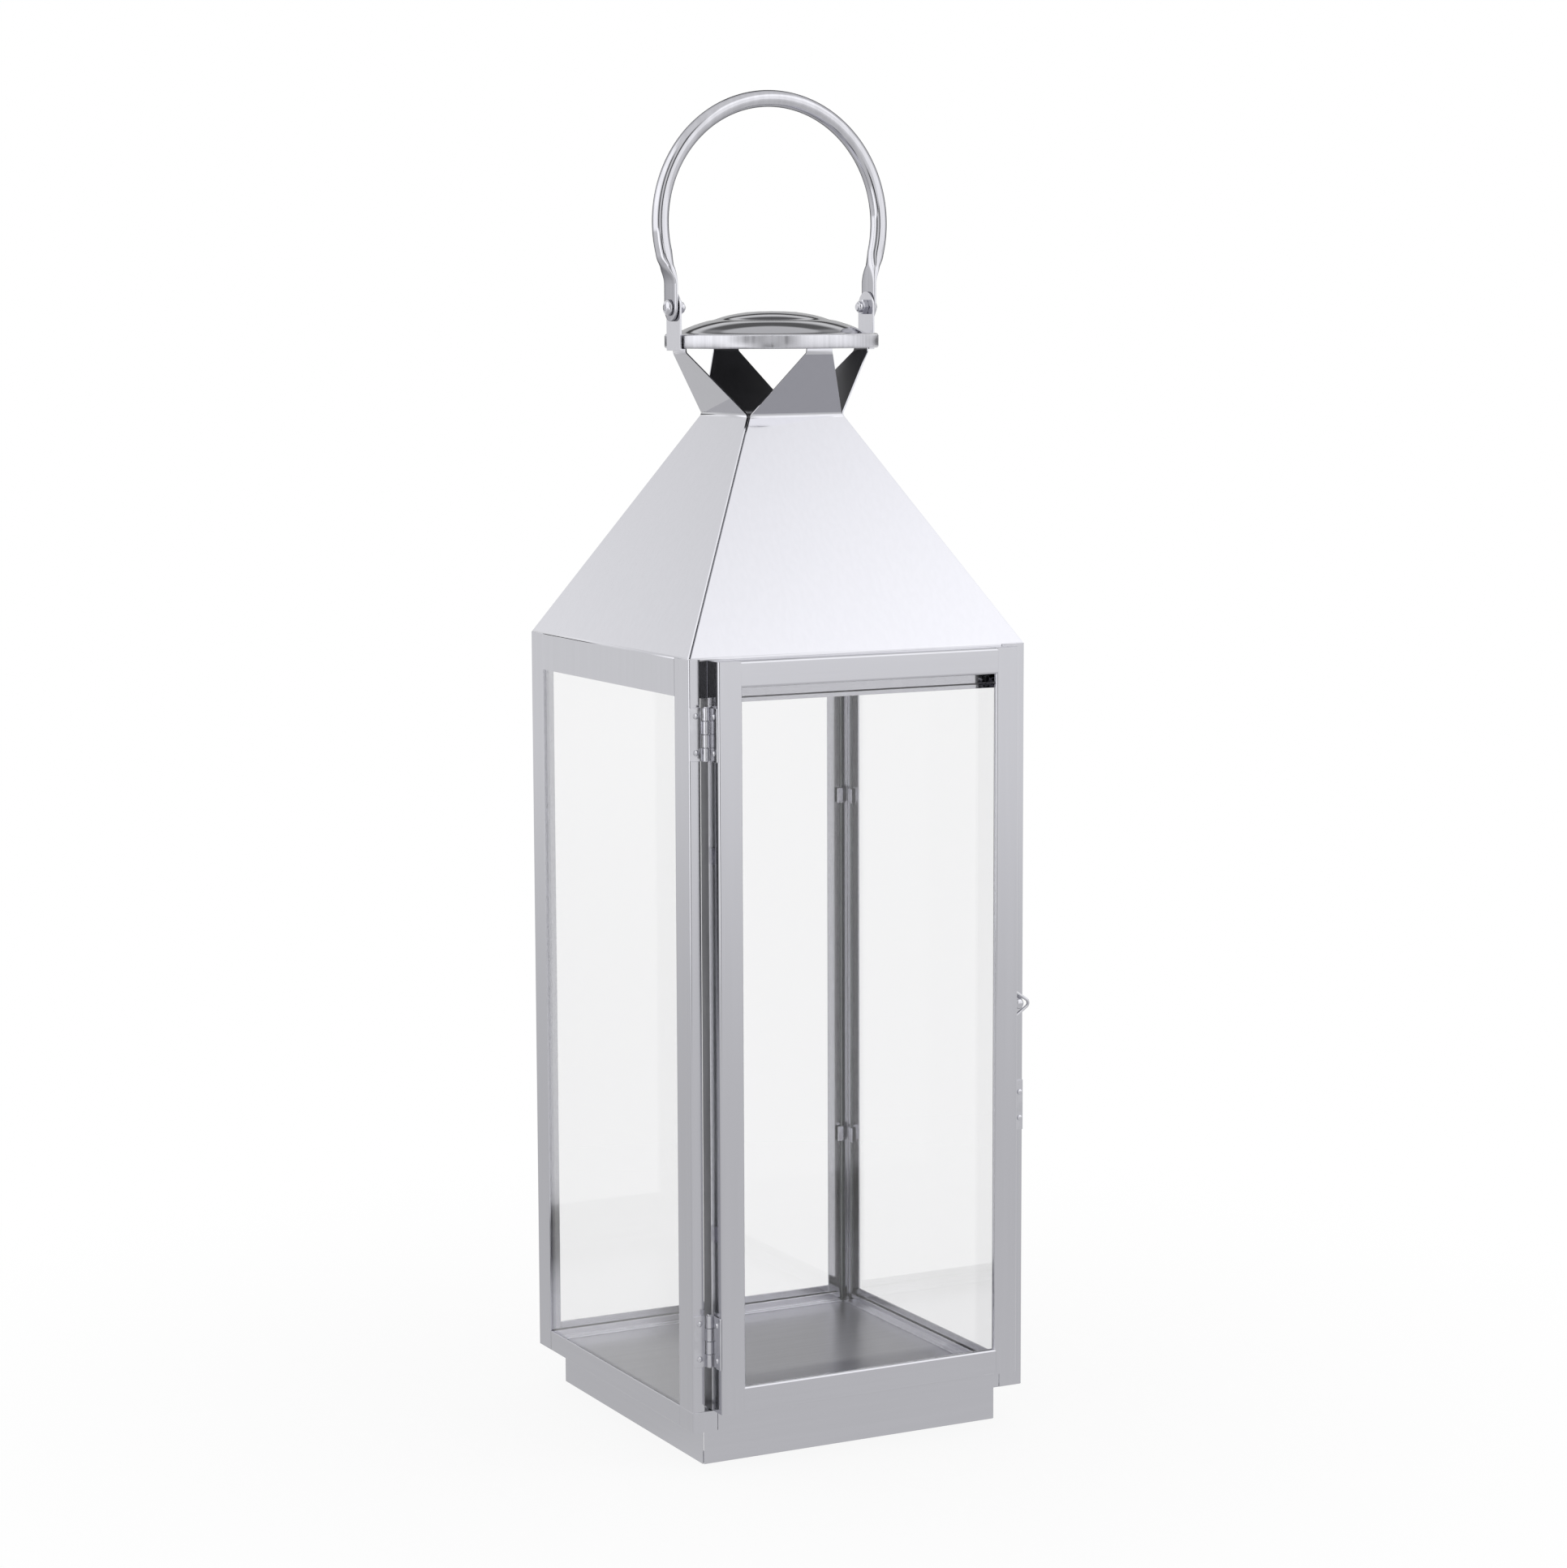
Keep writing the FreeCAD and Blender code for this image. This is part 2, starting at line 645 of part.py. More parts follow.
def handle_pivots():
    """Screws from outside through handle and ears, and locking nuts on their inner ends."""
    screws = []
    nuts = []
    shank = "(size.screw_diameter / 2)"
    head = "(size.screw_head / 2)"
    head_out = f"({HEAD_IN} + size.screw_head_height)"
    nut_x = "(size.cap_radius - size.nut_height)"
    collar_x = f"({nut_x} - size.nut_collar_height)"
    profile = [
        (f"{collar_x} - size.screw_end", "0"),
        (f"{collar_x} - size.screw_end", shank),
        (HEAD_IN, shank),
        (HEAD_IN, head),
        (f"{HEAD_IN} + size.screw_head_height / 4", head),
        (head_out, f"{head} / 2"),
        (head_out, "0"),
    ]
    half_flat = "(size.nut_flats / 2)"
    point = "(size.nut_flats / sqrt(3))"
    hexagon = [
        (half_flat, f"-{point} / 2"),
        (half_flat, f"{point} / 2"),
        ("0", point),
        (f"-{half_flat}", f"{point} / 2"),
        (f"-{half_flat}", f"-{point} / 2"),
        ("0", f"-{point}"),
    ]
    for count, turn in enumerate((0, 180), start=1):
        screw = piece(f"handle_screw_{count}", turn, ("0", "0", PIVOT_Z), keep=False)
        revolve(screw, "XZ", profile, "H_Axis")
        screws.append(screw)
        nut = piece(f"handle_nut_{count}", turn, ("0", "0", PIVOT_Z), keep=False)
        plate(nut, "YZ", nut_x, "size.nut_height", hexagon)
        disc(nut, "YZ", collar_x, "size.nut_collar_height", ("0", "0"), "size.nut_collar / 2")
        bore(nut, "YZ", [("0", "0")], SCREW_BORE)
        nuts.append(nut)
    group("handle_screws", screws)
    group("handle_nuts", nuts)


# Fixed glass

def pane_ends(side):
    """How far a fixed pane reaches to the left and right of its middle, seen from outside."""
    span = FRONT_SPAN if side == "back" else SIDE_SPAN
    reach = f"({span} + size.glass_lap)"
    ledge_end = f"({HALF} - size.sill_ledge - size.glass_play)"
    return {
        "left": (reach, ledge_end),
        "right": (ledge_end, reach),
        "back": (reach, reach),
    }[side]


def fixed_glass(side):
    """Pane on the floor plate behind rail, posts and roof flange, and the bead at its foot."""
    left, right = pane_ends(side)
    pane = piece(f"pane_{side}", turn_of(side))
    corners = box(f"-{left}", right, f"-{INNER}", f"-{PANE_IN}")
    plate(pane, "XY", FLOOR_Z, f"{PANE_TOP} - {FLOOR_Z}", corners)
    bead = piece(f"glass_bead_{side}", turn_of(side))
    end = f"({PANE_IN} - size.bead_foot - size.seam)"
    wall = box(f"-{end}", end, f"-{PANE_IN}", f"-{PANE_IN} + size.sheet")
    foot = box(f"-{end}", end, f"-{PANE_IN}", f"-{PANE_IN} + size.bead_foot")
    plate(bead, "XY", FLOOR_Z, "size.bead_height", wall)
    plate(bead, "XY", FLOOR_Z, "size.sheet", foot)


def glass_clips():
    """Folded clips on the posts' inner faces that hold the panes' upright edges."""
    clips = []
    for side in ("left", "right", "back"):
        for hand, reach in zip((-1, 1), pane_ends(side)):
            step = f"({reach} + size.glass_play)"
            back = f"-{PANE_IN} + size.clip_sheet"
            base_back = f"-{INNER} + size.clip_sheet"
            section = [
                (f"{step} + size.clip_base", f"-{INNER}"),
                (f"{step} + size.clip_base", base_back),
                (f"{step} + size.clip_sheet", base_back),
                (f"{step} + size.clip_sheet", back),
                (f"{reach} - size.clip_lap", back),
                (f"{reach} - size.clip_lap", f"-{PANE_IN}"),
                (step, f"-{PANE_IN}"),
                (step, f"-{INNER}"),
            ]
            corners = [(f"{hand} * ({u})", v) for u, v in section]
            for share in (0.25, 0.75):
                clip = piece(f"glass_clip_{side}_{len(clips)}", turn_of(side), keep=False)
                low = f"{blend(FLOOR_Z, PANE_TOP, share)} - size.clip_width / 2"
                plate(clip, "XY", low, "size.clip_width", corners)
                clips.append(clip)
    group("glass_clips", clips)


# Door

def door_stile(name, sign):
    """Upright of the door: a channel with closed ends, whose inner edge stops at the glass."""
    body = piece(name)
    section = [
        (DOOR_HALF, f"-{DOOR_BACK}"),
        (DOOR_HALF, f"-{DOOR_FRONT}"),
        (DOOR_INNER, f"-{DOOR_FRONT}"),
        (DOOR_INNER, f"-{DOOR_REBATE}"),
        (f"{DOOR_INNER} + size.sheet", f"-{DOOR_REBATE}"),
        (f"{DOOR_INNER} + size.sheet", f"-{DOOR_FRONT} + size.sheet"),
        (f"{DOOR_HALF} - size.sheet", f"-{DOOR_FRONT} + size.sheet"),
        (f"{DOOR_HALF} - size.sheet", f"-{DOOR_BACK}"),
    ]
    corners = [(f"{sign} * ({u})", v) for u, v in section]
    plate(body, "XY", DOOR_LOW, f"{DOOR_TOP} - {DOOR_LOW}", corners)
    end = box(f"{sign} * {DOOR_INNER}", f"{sign} * {DOOR_HALF}", f"-{DOOR_FRONT}", f"-{DOOR_BACK}")
    for low in (DOOR_LOW, f"{DOOR_TOP} - size.sheet"):
        plate(body, "XY", low, "size.sheet", end)
    return body


def door_rail(name, outer, sign):
    """Rail of the door between the stiles: sign is 1 at the top and -1 at the bottom."""
    body = piece(name)
    inner = f"({outer} - {sign} * size.door_face)"
    section = [
        (f"-{DOOR_BACK}", outer),
        (f"-{DOOR_FRONT}", outer),
        (f"-{DOOR_FRONT}", inner),
        (f"-{DOOR_REBATE}", inner),
        (f"-{DOOR_REBATE}", f"{inner} + {sign} * size.sheet"),
        (f"-{DOOR_FRONT} + size.sheet", f"{inner} + {sign} * size.sheet"),
        (f"-{DOOR_FRONT} + size.sheet", f"{outer} - {sign} * size.sheet"),
        (f"-{DOOR_BACK}", f"{outer} - {sign} * size.sheet"),
    ]
    plate(body, "YZ", f"-{DOOR_INNER}", f"2 * {DOOR_INNER}", section)


def door():
    """Channel frame in front, a pane behind its lips and a back frame that holds the pane."""
    hinge_stile = door_stile("door_stile_hinge", -1)
    door_stile("door_stile_latch", 1)
    rivets = [(door_rivet_y(), height) for low in HINGE_LOW.values() for height in rivet_heights(low)]
    bore(hinge_stile, "YZ", rivets, RIVET_BORE, f"-{DOOR_HALF} + size.sheet", "size.sheet")
    door_rail("door_rail_top", DOOR_TOP, 1)
    door_rail("door_rail_bottom", DOOR_LOW, -1)
    pane = piece("door_pane")
    edge = "(size.sheet + size.glass_play)"
    pane_half = f"({DOOR_HALF} - {edge})"
    pane_face = box(f"-{pane_half}", pane_half, f"{DOOR_LOW} + {edge}", f"{DOOR_TOP} - {edge}")
    plate(pane, "XZ", DOOR_BACK, "size.glass", pane_face)
    back = piece("door_back_frame")
    right = f"({FRONT_SPAN} - size.door_back_play)"
    top = f"({EAVES_Z} - size.roof_flange - size.door_back_play)"
    rim = box(f"-{DOOR_HALF}", right, DOOR_LOW, top)
    opening = box(
        f"-{DOOR_INNER}", DOOR_INNER, f"{DOOR_LOW} + size.door_face", f"{top} - size.door_back_lip"
    )
    plate(back, "XZ", f"{DOOR_BACK} - size.sheet", "size.sheet", rim, opening)
    inside = box(
        f"-{DOOR_HALF} + size.sheet",
        f"{right} - size.sheet",
        f"{DOOR_LOW} + size.sheet",
        f"{top} - size.sheet",
    )
    plate(back, "XZ", f"{DOOR_BACK} - size.door_back_depth", "size.door_back_depth", rim, inside)


# Hinges, rivets and latch

def rivet_heights(low):
    """Heights of the two rivets of a hinge leaf."""
    middle = f"{low} + size.hinge_height / 2"
    return [f"({middle} - size.rivet_pitch / 2)", f"({middle} + size.rivet_pitch / 2)"]


def strike_rivet_heights():
    """Heights of the strike plate's two rivets."""
    reach = "size.strike_rivet_pitch / 2"
    return [f"({STRIKE_Z} - {reach})", f"({STRIKE_Z} + {reach})"]


def door_rivet_y():
    """Depth of the rivets in the door's hinge side."""
    return f"({HINGE_Y} - size.door_rivet_reach)"


def hinge_leaf(name, low, points, neck, knuckles, rivet_plane, rivet_at):
    """Leaf in the frame of its hinge's axis: a plate, its knuckles and their bore."""
    body = piece(name, base=(HINGE_X, HINGE_Y, low))
    plate(body, "XY", "0", "size.hinge_height", points)
    heights = [f"(size.hinge_height {sign} size.rivet_pitch) / 2" for sign in "-+"]
    bore(body, rivet_plane, [(rivet_at, height) for height in heights], RIVET_BORE)
    pitch = "(size.hinge_height / 4)"
    for index in knuckles:
        start = f"{index} * {pitch} + size.knuckle_gap / 2"
        length = f"{pitch} - size.knuckle_gap"
        disc(body, "XY", start, length, ("0", "0"), KNUCKLE_R)
        plate(body, "XY", start, length, neck)
    bore(body, "XY", [("0", "0")], "size.hinge_pin / 2 + size.pin_fit")


def hinge(level):
    """One butt hinge: two leaves with interlocking knuckles, and the pin."""
    low = HINGE_LOW[level]
    face = f"({HINGE_REACH} - size.leaf_sheet)"
    near = f"({KNUCKLE_R} + size.leaf_gap)"
    post_points = box("-size.post_leaf_width", f"-{near}", face, HINGE_REACH)
    post_neck = box(f"-{near}", "0", face, HINGE_REACH)
    post_rivet = f"{POST_RIVET_X} - {HINGE_X}"
    hinge_leaf(f"hinge_{level}_post_leaf", low, post_points, post_neck, (0, 2), "XZ", post_rivet)
    door_points = box(face, HINGE_REACH, "-size.door_leaf_width", f"-{near}")
    door_neck = box(face, HINGE_REACH, f"-{near}", "0")
    door_rivet = "-size.door_rivet_reach"
    hinge_leaf(f"hinge_{level}_door_leaf", low, door_points, door_neck, (1, 3), "YZ", door_rivet)
    rod = piece(f"hinge_{level}_pin", base=(HINGE_X, HINGE_Y, low))
    bottom = "(size.knuckle_gap / 2)"
    top = "(size.hinge_height + size.knuckle_gap / 2)"
    head = "size.pin_head / 2"
    disc(rod, "XY", f"{bottom} - size.pin_head_height", "size.pin_head_height", ("0", "0"), head)
    disc(rod, "XY", bottom, f"{top} - {bottom}", ("0", "0"), "size.hinge_pin / 2")
    disc(rod, "XY", top, "size.pin_head_height", ("0", "0"), head)


def fastener(body, shank, head, head_height, grip):
    """Turned rivet or stud: its head faces -Y before it is turned, and its shank starts at the base."""
    end = f"{grip} + size.rivet_end"
    points = [
        ("0", f"-{head_height}"),
        (f"{head} / 3", f"-{head_height}"),
        (f"{head} / 2", f"-{head_height} + {head} / 6"),
        (f"{head} / 2", "0"),
        (f"{shank} / 2", "0"),
        (f"{shank} / 2", end),
        ("0", end),
    ]
    revolve(body, "XY", points, "V_Axis")


def rivet(name, turn, base, grip):
    """One rivet of the hinges and the strike plate."""
    body = piece(name, turn, base, keep=False)
    fastener(body, "size.rivet", "size.rivet_head", "size.rivet_head_height", grip)
    return body


def rivets():
    """Rivets of the hinge leaves and of the strike plate."""
    grip = "(size.leaf_sheet + size.sheet)"
    post_y = f"-{HALF} - size.leaf_sheet"
    door_x = f"-{DOOR_HALF} - size.leaf_sheet"
    on_post = []
    on_door = []
    for low in HINGE_LOW.values():
        for height in rivet_heights(low):
            place = (POST_RIVET_X, post_y, height)
            on_post.append(rivet(f"post_rivet_{len(on_post)}", 0, place, grip))
            place = (door_x, door_rivet_y(), height)
            on_door.append(rivet(f"door_rivet_{len(on_door)}", 270, place, grip))
    on_strike = []
    for height in strike_rivet_heights():
        place = (STRIKE_RIVET_X, post_y, height)
        on_strike.append(rivet(f"strike_rivet_{len(on_strike)}", 0, place, grip))
    group("post_rivets", on_post)
    group("door_rivets", on_door)
    group("strike_rivets", on_strike)


def strike_plate():
    """Plate riveted to the front of the latch side's post, below the latch."""
    body = piece("strike_plate")
    high_x = f"({HALF} - size.strike_edge)"
    half_height = "size.strike_height / 2"
    face = box(
        f"{high_x} - size.strike_width",
        high_x,
        f"{STRIKE_Z} - {half_height}",
        f"{STRIKE_Z} + {half_height}",
    )
    plate(body, "XZ", HALF, "size.leaf_sheet", face)
    bore(body, "XZ", [(STRIKE_RIVET_X, height) for height in strike_rivet_heights()], RIVET_BORE)


def latch_stud():
    """Stud on the post that the latch's wire lies round."""
    body = piece("latch_stud", base=(STUD_X, f"-{HALF}", LATCH_Z))
    fastener(body, "size.stud_shank", "size.stud", "size.stud_height", "size.sheet")


def latch_saddle():
    """Plate on the door's edge with two eyelets, in the frame of the latch's axis."""
    body = piece("latch_saddle", base=(LATCH_X, LATCH_Y, LATCH_Z))
    half_width = "(size.saddle_width / 2)"
    base_plate = box("-size.latch_offset", "-size.latch_offset + size.sheet", f"-{half_width}", half_width)
    plate(body, "XY", "-size.saddle_height / 2", "size.saddle_height", base_plate)
    for start in ("size.eyelet_low", "-size.eyelet_low - size.eyelet_length"):
        disc(body, "XY", start, "size.eyelet_length", ("0", "0"), "size.eyelet / 2")
    bore(body, "XY", [("0", "0")], "size.latch_wire / 2 + size.latch_fit")


def latch_bail():
    """V of wire whose two upright ends turn in the saddle's eyelets."""
    body = piece("latch_bail", base=(LATCH_X, LATCH_Y, LATCH_Z))
    path = new_sketch(body, "XZ")
    centre_x = number("size.bail_reach - size.bail_bend")
    bend = number("size.bail_bend")
    leg = number("size.bail_leg")
    end = number("size.bail_end")
    reach = (centre_x ** 2 + leg ** 2 - bend ** 2) ** 0.5
    knee = FreeCAD.Vector(0, leg, 0)
    middle = FreeCAD.Vector(centre_x, 0, 0)
    toward = (middle - knee).normalize()
    across = FreeCAD.Vector(-toward.y, toward.x, 0)
    distance = (middle - knee).Length
    touch = knee + (toward * (reach / distance) + across * (bend / distance)) * reach
    lower_touch = FreeCAD.Vector(touch.x, -touch.y, 0)
    corners = [FreeCAD.Vector(0, end, 0), knee, touch]
    lower = [FreeCAD.Vector(point.x, -point.y, 0) for point in corners]
    top_end = path.addGeometry(Part.LineSegment(corners[0], corners[1]))
    top_leg = path.addGeometry(Part.LineSegment(corners[1], corners[2]))
    apex = FreeCAD.Vector(centre_x + bend, 0, 0)
    bow = path.addGeometry(Part.Arc(touch, apex, lower_touch))
    low_leg = path.addGeometry(Part.LineSegment(lower[2], lower[1]))
    low_end = path.addGeometry(Part.LineSegment(lower[1], lower[0]))
    bow_top = 1 if path.getPoint(bow, 1).y > 0 else 2
    bow_low = 3 - bow_top
    path.addConstraint(Sketcher.Constraint("Coincident", top_end, 2, top_leg, 1))
    path.addConstraint(Sketcher.Constraint("Tangent", top_leg, 2, bow, bow_top))
    path.addConstraint(Sketcher.Constraint("Tangent", bow, bow_low, low_leg, 1))
    path.addConstraint(Sketcher.Constraint("Coincident", low_leg, 2, low_end, 1))
    hold_radius(path, bow, "size.bail_bend")
    pin(path, "DistanceX", bow, 3, "size.bail_reach - size.bail_bend")
    pin(path, "DistanceY", bow, 3, "0")
    for edge, point, height in (
        (top_end, 1, "size.bail_end"),
        (top_end, 2, "size.bail_leg"),
        (low_end, 1, "-size.bail_leg"),
        (low_end, 2, "-size.bail_end"),
    ):
        pin(path, "DistanceX", edge, point, "0")
        pin(path, "DistanceY", edge, point, height)
    section = new_sketch(body, "XY", "size.bail_end")
    ring(section, "0", "0", "size.latch_wire / 2")
    wire = body.newObject("PartDesign::AdditivePipe", "latch_wire")
    wire.Profile = section
    wire.Spine = path
    wire.Transition = "Right corner"


def build():
    """Make every sub-part of the lantern."""
    fill_sheet()
    DOC.addObject("App::FeaturePython", "probe")
    for side in SIDES:
        plinth_side(side)
    floor_plate()
    front_sill()
    for side, span in (("right", SIDE_SPAN), ("back", FRONT_SPAN), ("left", SIDE_SPAN)):
        bottom_rail(f"rail_{side}", side, span)
    posts()
    for side in SIDES:
        roof_sheet(side, FRONT_SPAN if side in ("front", "back") else SIDE_SPAN)
    vent_cap()
    ear("left")
    ear("right")
    handle()
    handle_pivots()
    for side in ("left", "right", "back"):
        fixed_glass(side)
    glass_clips()
    door()
    for level in HINGE_LOW:
        hinge(level)
    rivets()
    strike_plate()
    latch_stud()
    latch_saddle()
    latch_bail()
    DOC.recompute()


def check_and_write():
    """Stop at any failed object or bad shape, then write one file for each sub-part."""
    for item in DOC.Objects:
        if "Invalid" in item.State or "Error" in item.State:
            raise ValueError(f"{item.Label} failed")
    for item in PIECES:
        if item.Shape.isNull() or not item.Shape.isValid() or not item.Shape.Solids:
            raise ValueError(f"{item.Label} has no valid shape")
    os.makedirs("parts", exist_ok=True)
    for item in PIECES:
        item.Shape.exportStep(f"parts/{item.Label}.step")


build()
check_and_write()
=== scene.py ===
import logging
import math
from dataclasses import dataclass
from enum import Enum
from typing import Sequence

import bmesh
import bpy
from bpy.types import Material, Node, NodeSocket, Object, World
from mathutils import Matrix, Vector


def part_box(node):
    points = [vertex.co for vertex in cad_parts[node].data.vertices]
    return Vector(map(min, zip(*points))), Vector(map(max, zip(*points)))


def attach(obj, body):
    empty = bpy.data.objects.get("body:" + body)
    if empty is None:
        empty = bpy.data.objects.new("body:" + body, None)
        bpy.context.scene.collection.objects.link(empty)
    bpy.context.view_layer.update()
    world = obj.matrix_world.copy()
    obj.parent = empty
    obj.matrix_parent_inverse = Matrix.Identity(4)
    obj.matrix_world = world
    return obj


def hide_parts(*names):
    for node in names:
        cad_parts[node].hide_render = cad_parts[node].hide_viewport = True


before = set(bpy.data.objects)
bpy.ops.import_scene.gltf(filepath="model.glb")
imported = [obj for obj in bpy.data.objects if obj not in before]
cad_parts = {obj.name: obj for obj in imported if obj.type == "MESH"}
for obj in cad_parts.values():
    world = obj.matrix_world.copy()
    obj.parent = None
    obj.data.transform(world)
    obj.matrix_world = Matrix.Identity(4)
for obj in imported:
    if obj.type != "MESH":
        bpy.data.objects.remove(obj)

# Dresses the candle lantern's solids: polished sheet, glass, turned and bent hardware, and the studio.
# Metres, +Z up, in the solids' own frame: the door is the -Y side, hinged at -X; the handle swings about X.

LOG = logging.getLogger("lantern")
MM = 0.001
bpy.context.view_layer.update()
Colour = tuple[float, float, float]
Flat = tuple[float, float]
Place = tuple[float, float, float]
Mesh = bmesh.types.BMesh
WHITE: Colour = (1.0, 1.0, 1.0)
EVEN: Place = (1.0, 1.0, 1.0)
RISING: Flat = (0.0, 1.0)
FALLING: Flat = (1.0, 0.0)


# Shader helpers

class Shader:
    """The node tree of a material or world, with short ways to add and join nodes."""

    def __init__(self, owner: Material | World) -> None:
        """Empty the owner's tree.

        Args:
            owner: The material or world.
        """
        owner.use_nodes = True
        self.tree = owner.node_tree
        self.tree.nodes.clear()

    def add(self, kind: str, settings: dict | None = None, *values: object, **inputs: object) -> Node:
        """Add a node.

        Args:
            kind: The node's type name without its ShaderNode prefix.
            settings: Properties of the node itself.
            *values: Values or output sockets for its first inputs, in order.
            **inputs: The same for inputs by name, with _ for a space.

        Returns:
            The new node.
        """
        node = self.tree.nodes.new(f"ShaderNode{kind}")
        for name, value in (settings or {}).items():
            setattr(node, name, value)
        for index, value in enumerate(values):
            self.feed(node.inputs[index], value)
        for name, value in inputs.items():
            self.feed(node.inputs[name.replace("_", " ")], value)
        return node

    def feed(self, socket: NodeSocket, value: object) -> None:
        """Join an output to a socket, or set the socket's value.

        Args:
            socket: The input.
            value: An output, a number, a vector or a colour.
        """
        if isinstance(value, NodeSocket):
            self.tree.links.new(value, socket)
        elif isinstance(value, tuple) and len(value) == 3 and socket.type == "RGBA":
            socket.default_value = (*value, 1.0)
        else:
            socket.default_value = value

    def math(self, operation: str, *values: object) -> NodeSocket:
        """Result of the Math node for one or two values."""
        return self.add("Math", {"operation": operation}, *values).outputs[0]

    def times(self, first: object, second: object) -> NodeSocket:
        """Product of two values."""
        return self.math("MULTIPLY", first, second)

    def remap(self, value: object, span: Sequence[float], to: Sequence[float] = RISING) -> NodeSocket:
        """Value moved smoothly from one span to another, and clamped at both ends."""
        smooth = {"interpolation_type": "SMOOTHSTEP"}
        return self.add("MapRange", smooth, value, *span, *to).outputs["Result"]

    def noise(self, stretch: Place, scale: float, detail: float) -> NodeSocket:
        """Noise over the piece.

        Args:
            stretch: Scale along each axis.
            scale: Scale along all of them.
            detail: Number of finer layers.

        Returns:
            The noise's value.
        """
        place = self.add("Mapping", Vector=self.add("TexCoord").outputs["Object"], Scale=stretch)
        vector = place.outputs["Vector"]
        return self.add("TexNoise", Vector=vector, Scale=scale, Detail=detail).outputs["Fac"]

    def tint(self, share: NodeSocket, dark: object, light: object) -> NodeSocket:
        """Colour between two colours.

        Args:
            share: 0 for the first and 1 for the second.
            dark: The first colour.
            light: The second colour.

        Returns:
            The colour.
        """
        node = self.add("Mix", {"data_type": "RGBA"})
        for index, value in ((0, share), (6, dark), (7, light)):
            self.feed(node.inputs[index], value)
        return node.outputs[2]

    def blend(self, share: NodeSocket, first: Node, second: Node) -> Node:
        """Mix of two shaders, with a share of 0 for the first and 1 for the second."""
        return self.add("MixShader", None, share, first.outputs[0], second.outputs[0])

    def off_azimuth(self, parts: Node, azimuth: float) -> NodeSocket:
        """Angle round Z between a direction and an azimuth, which runs from +Y towards +X.

        Args:
            parts: Node with the direction's X and Y.
            azimuth: The azimuth in degrees.

        Returns:
            The angle in radians, never negative.
        """
        x, y = parts.outputs["X"], parts.outputs["Y"]
        sine, cosine = math.sin(math.radians(azimuth)), math.cos(math.radians(azimuth))
        side = self.math("SUBTRACT", self.times(x, cosine), self.times(y, sine))
        ahead = self.math("ADD", self.times(x, sine), self.times(y, cosine))
        return self.math("ABSOLUTE", self.math("ARCTAN2", side, ahead))


def shade(colour: Colour, factor: float) -> Colour:
    """Colour made darker or lighter by a factor."""
    red, green, blue = (min(1.0, part * factor) for part in colour)
    return red, green, blue


def radians(*angles: float) -> tuple[float, ...]:
    """Angles in degrees, in radians."""
    return tuple(math.radians(angle) for angle in angles)


# Finishes

class Grain(Enum):
    """Noise scale along X, Y and Z, which gives the way that a sheet's rolling streaks run."""

    UPRIGHT = (420.0, 420.0, 9.0)
    ALONG_X = (9.0, 420.0, 420.0)
    ALONG_Y = (420.0, 9.0, 420.0)
    NONE = (160.0, 160.0, 160.0)


class DullAndShaded(Enum):
    """The faces of a piece that are left unpolished, and darkened with painted shade."""

    NONE = "none"
    INSIDE = "those that look towards the lantern's upright middle line"
    LEFT = "those that look to the hinge side"


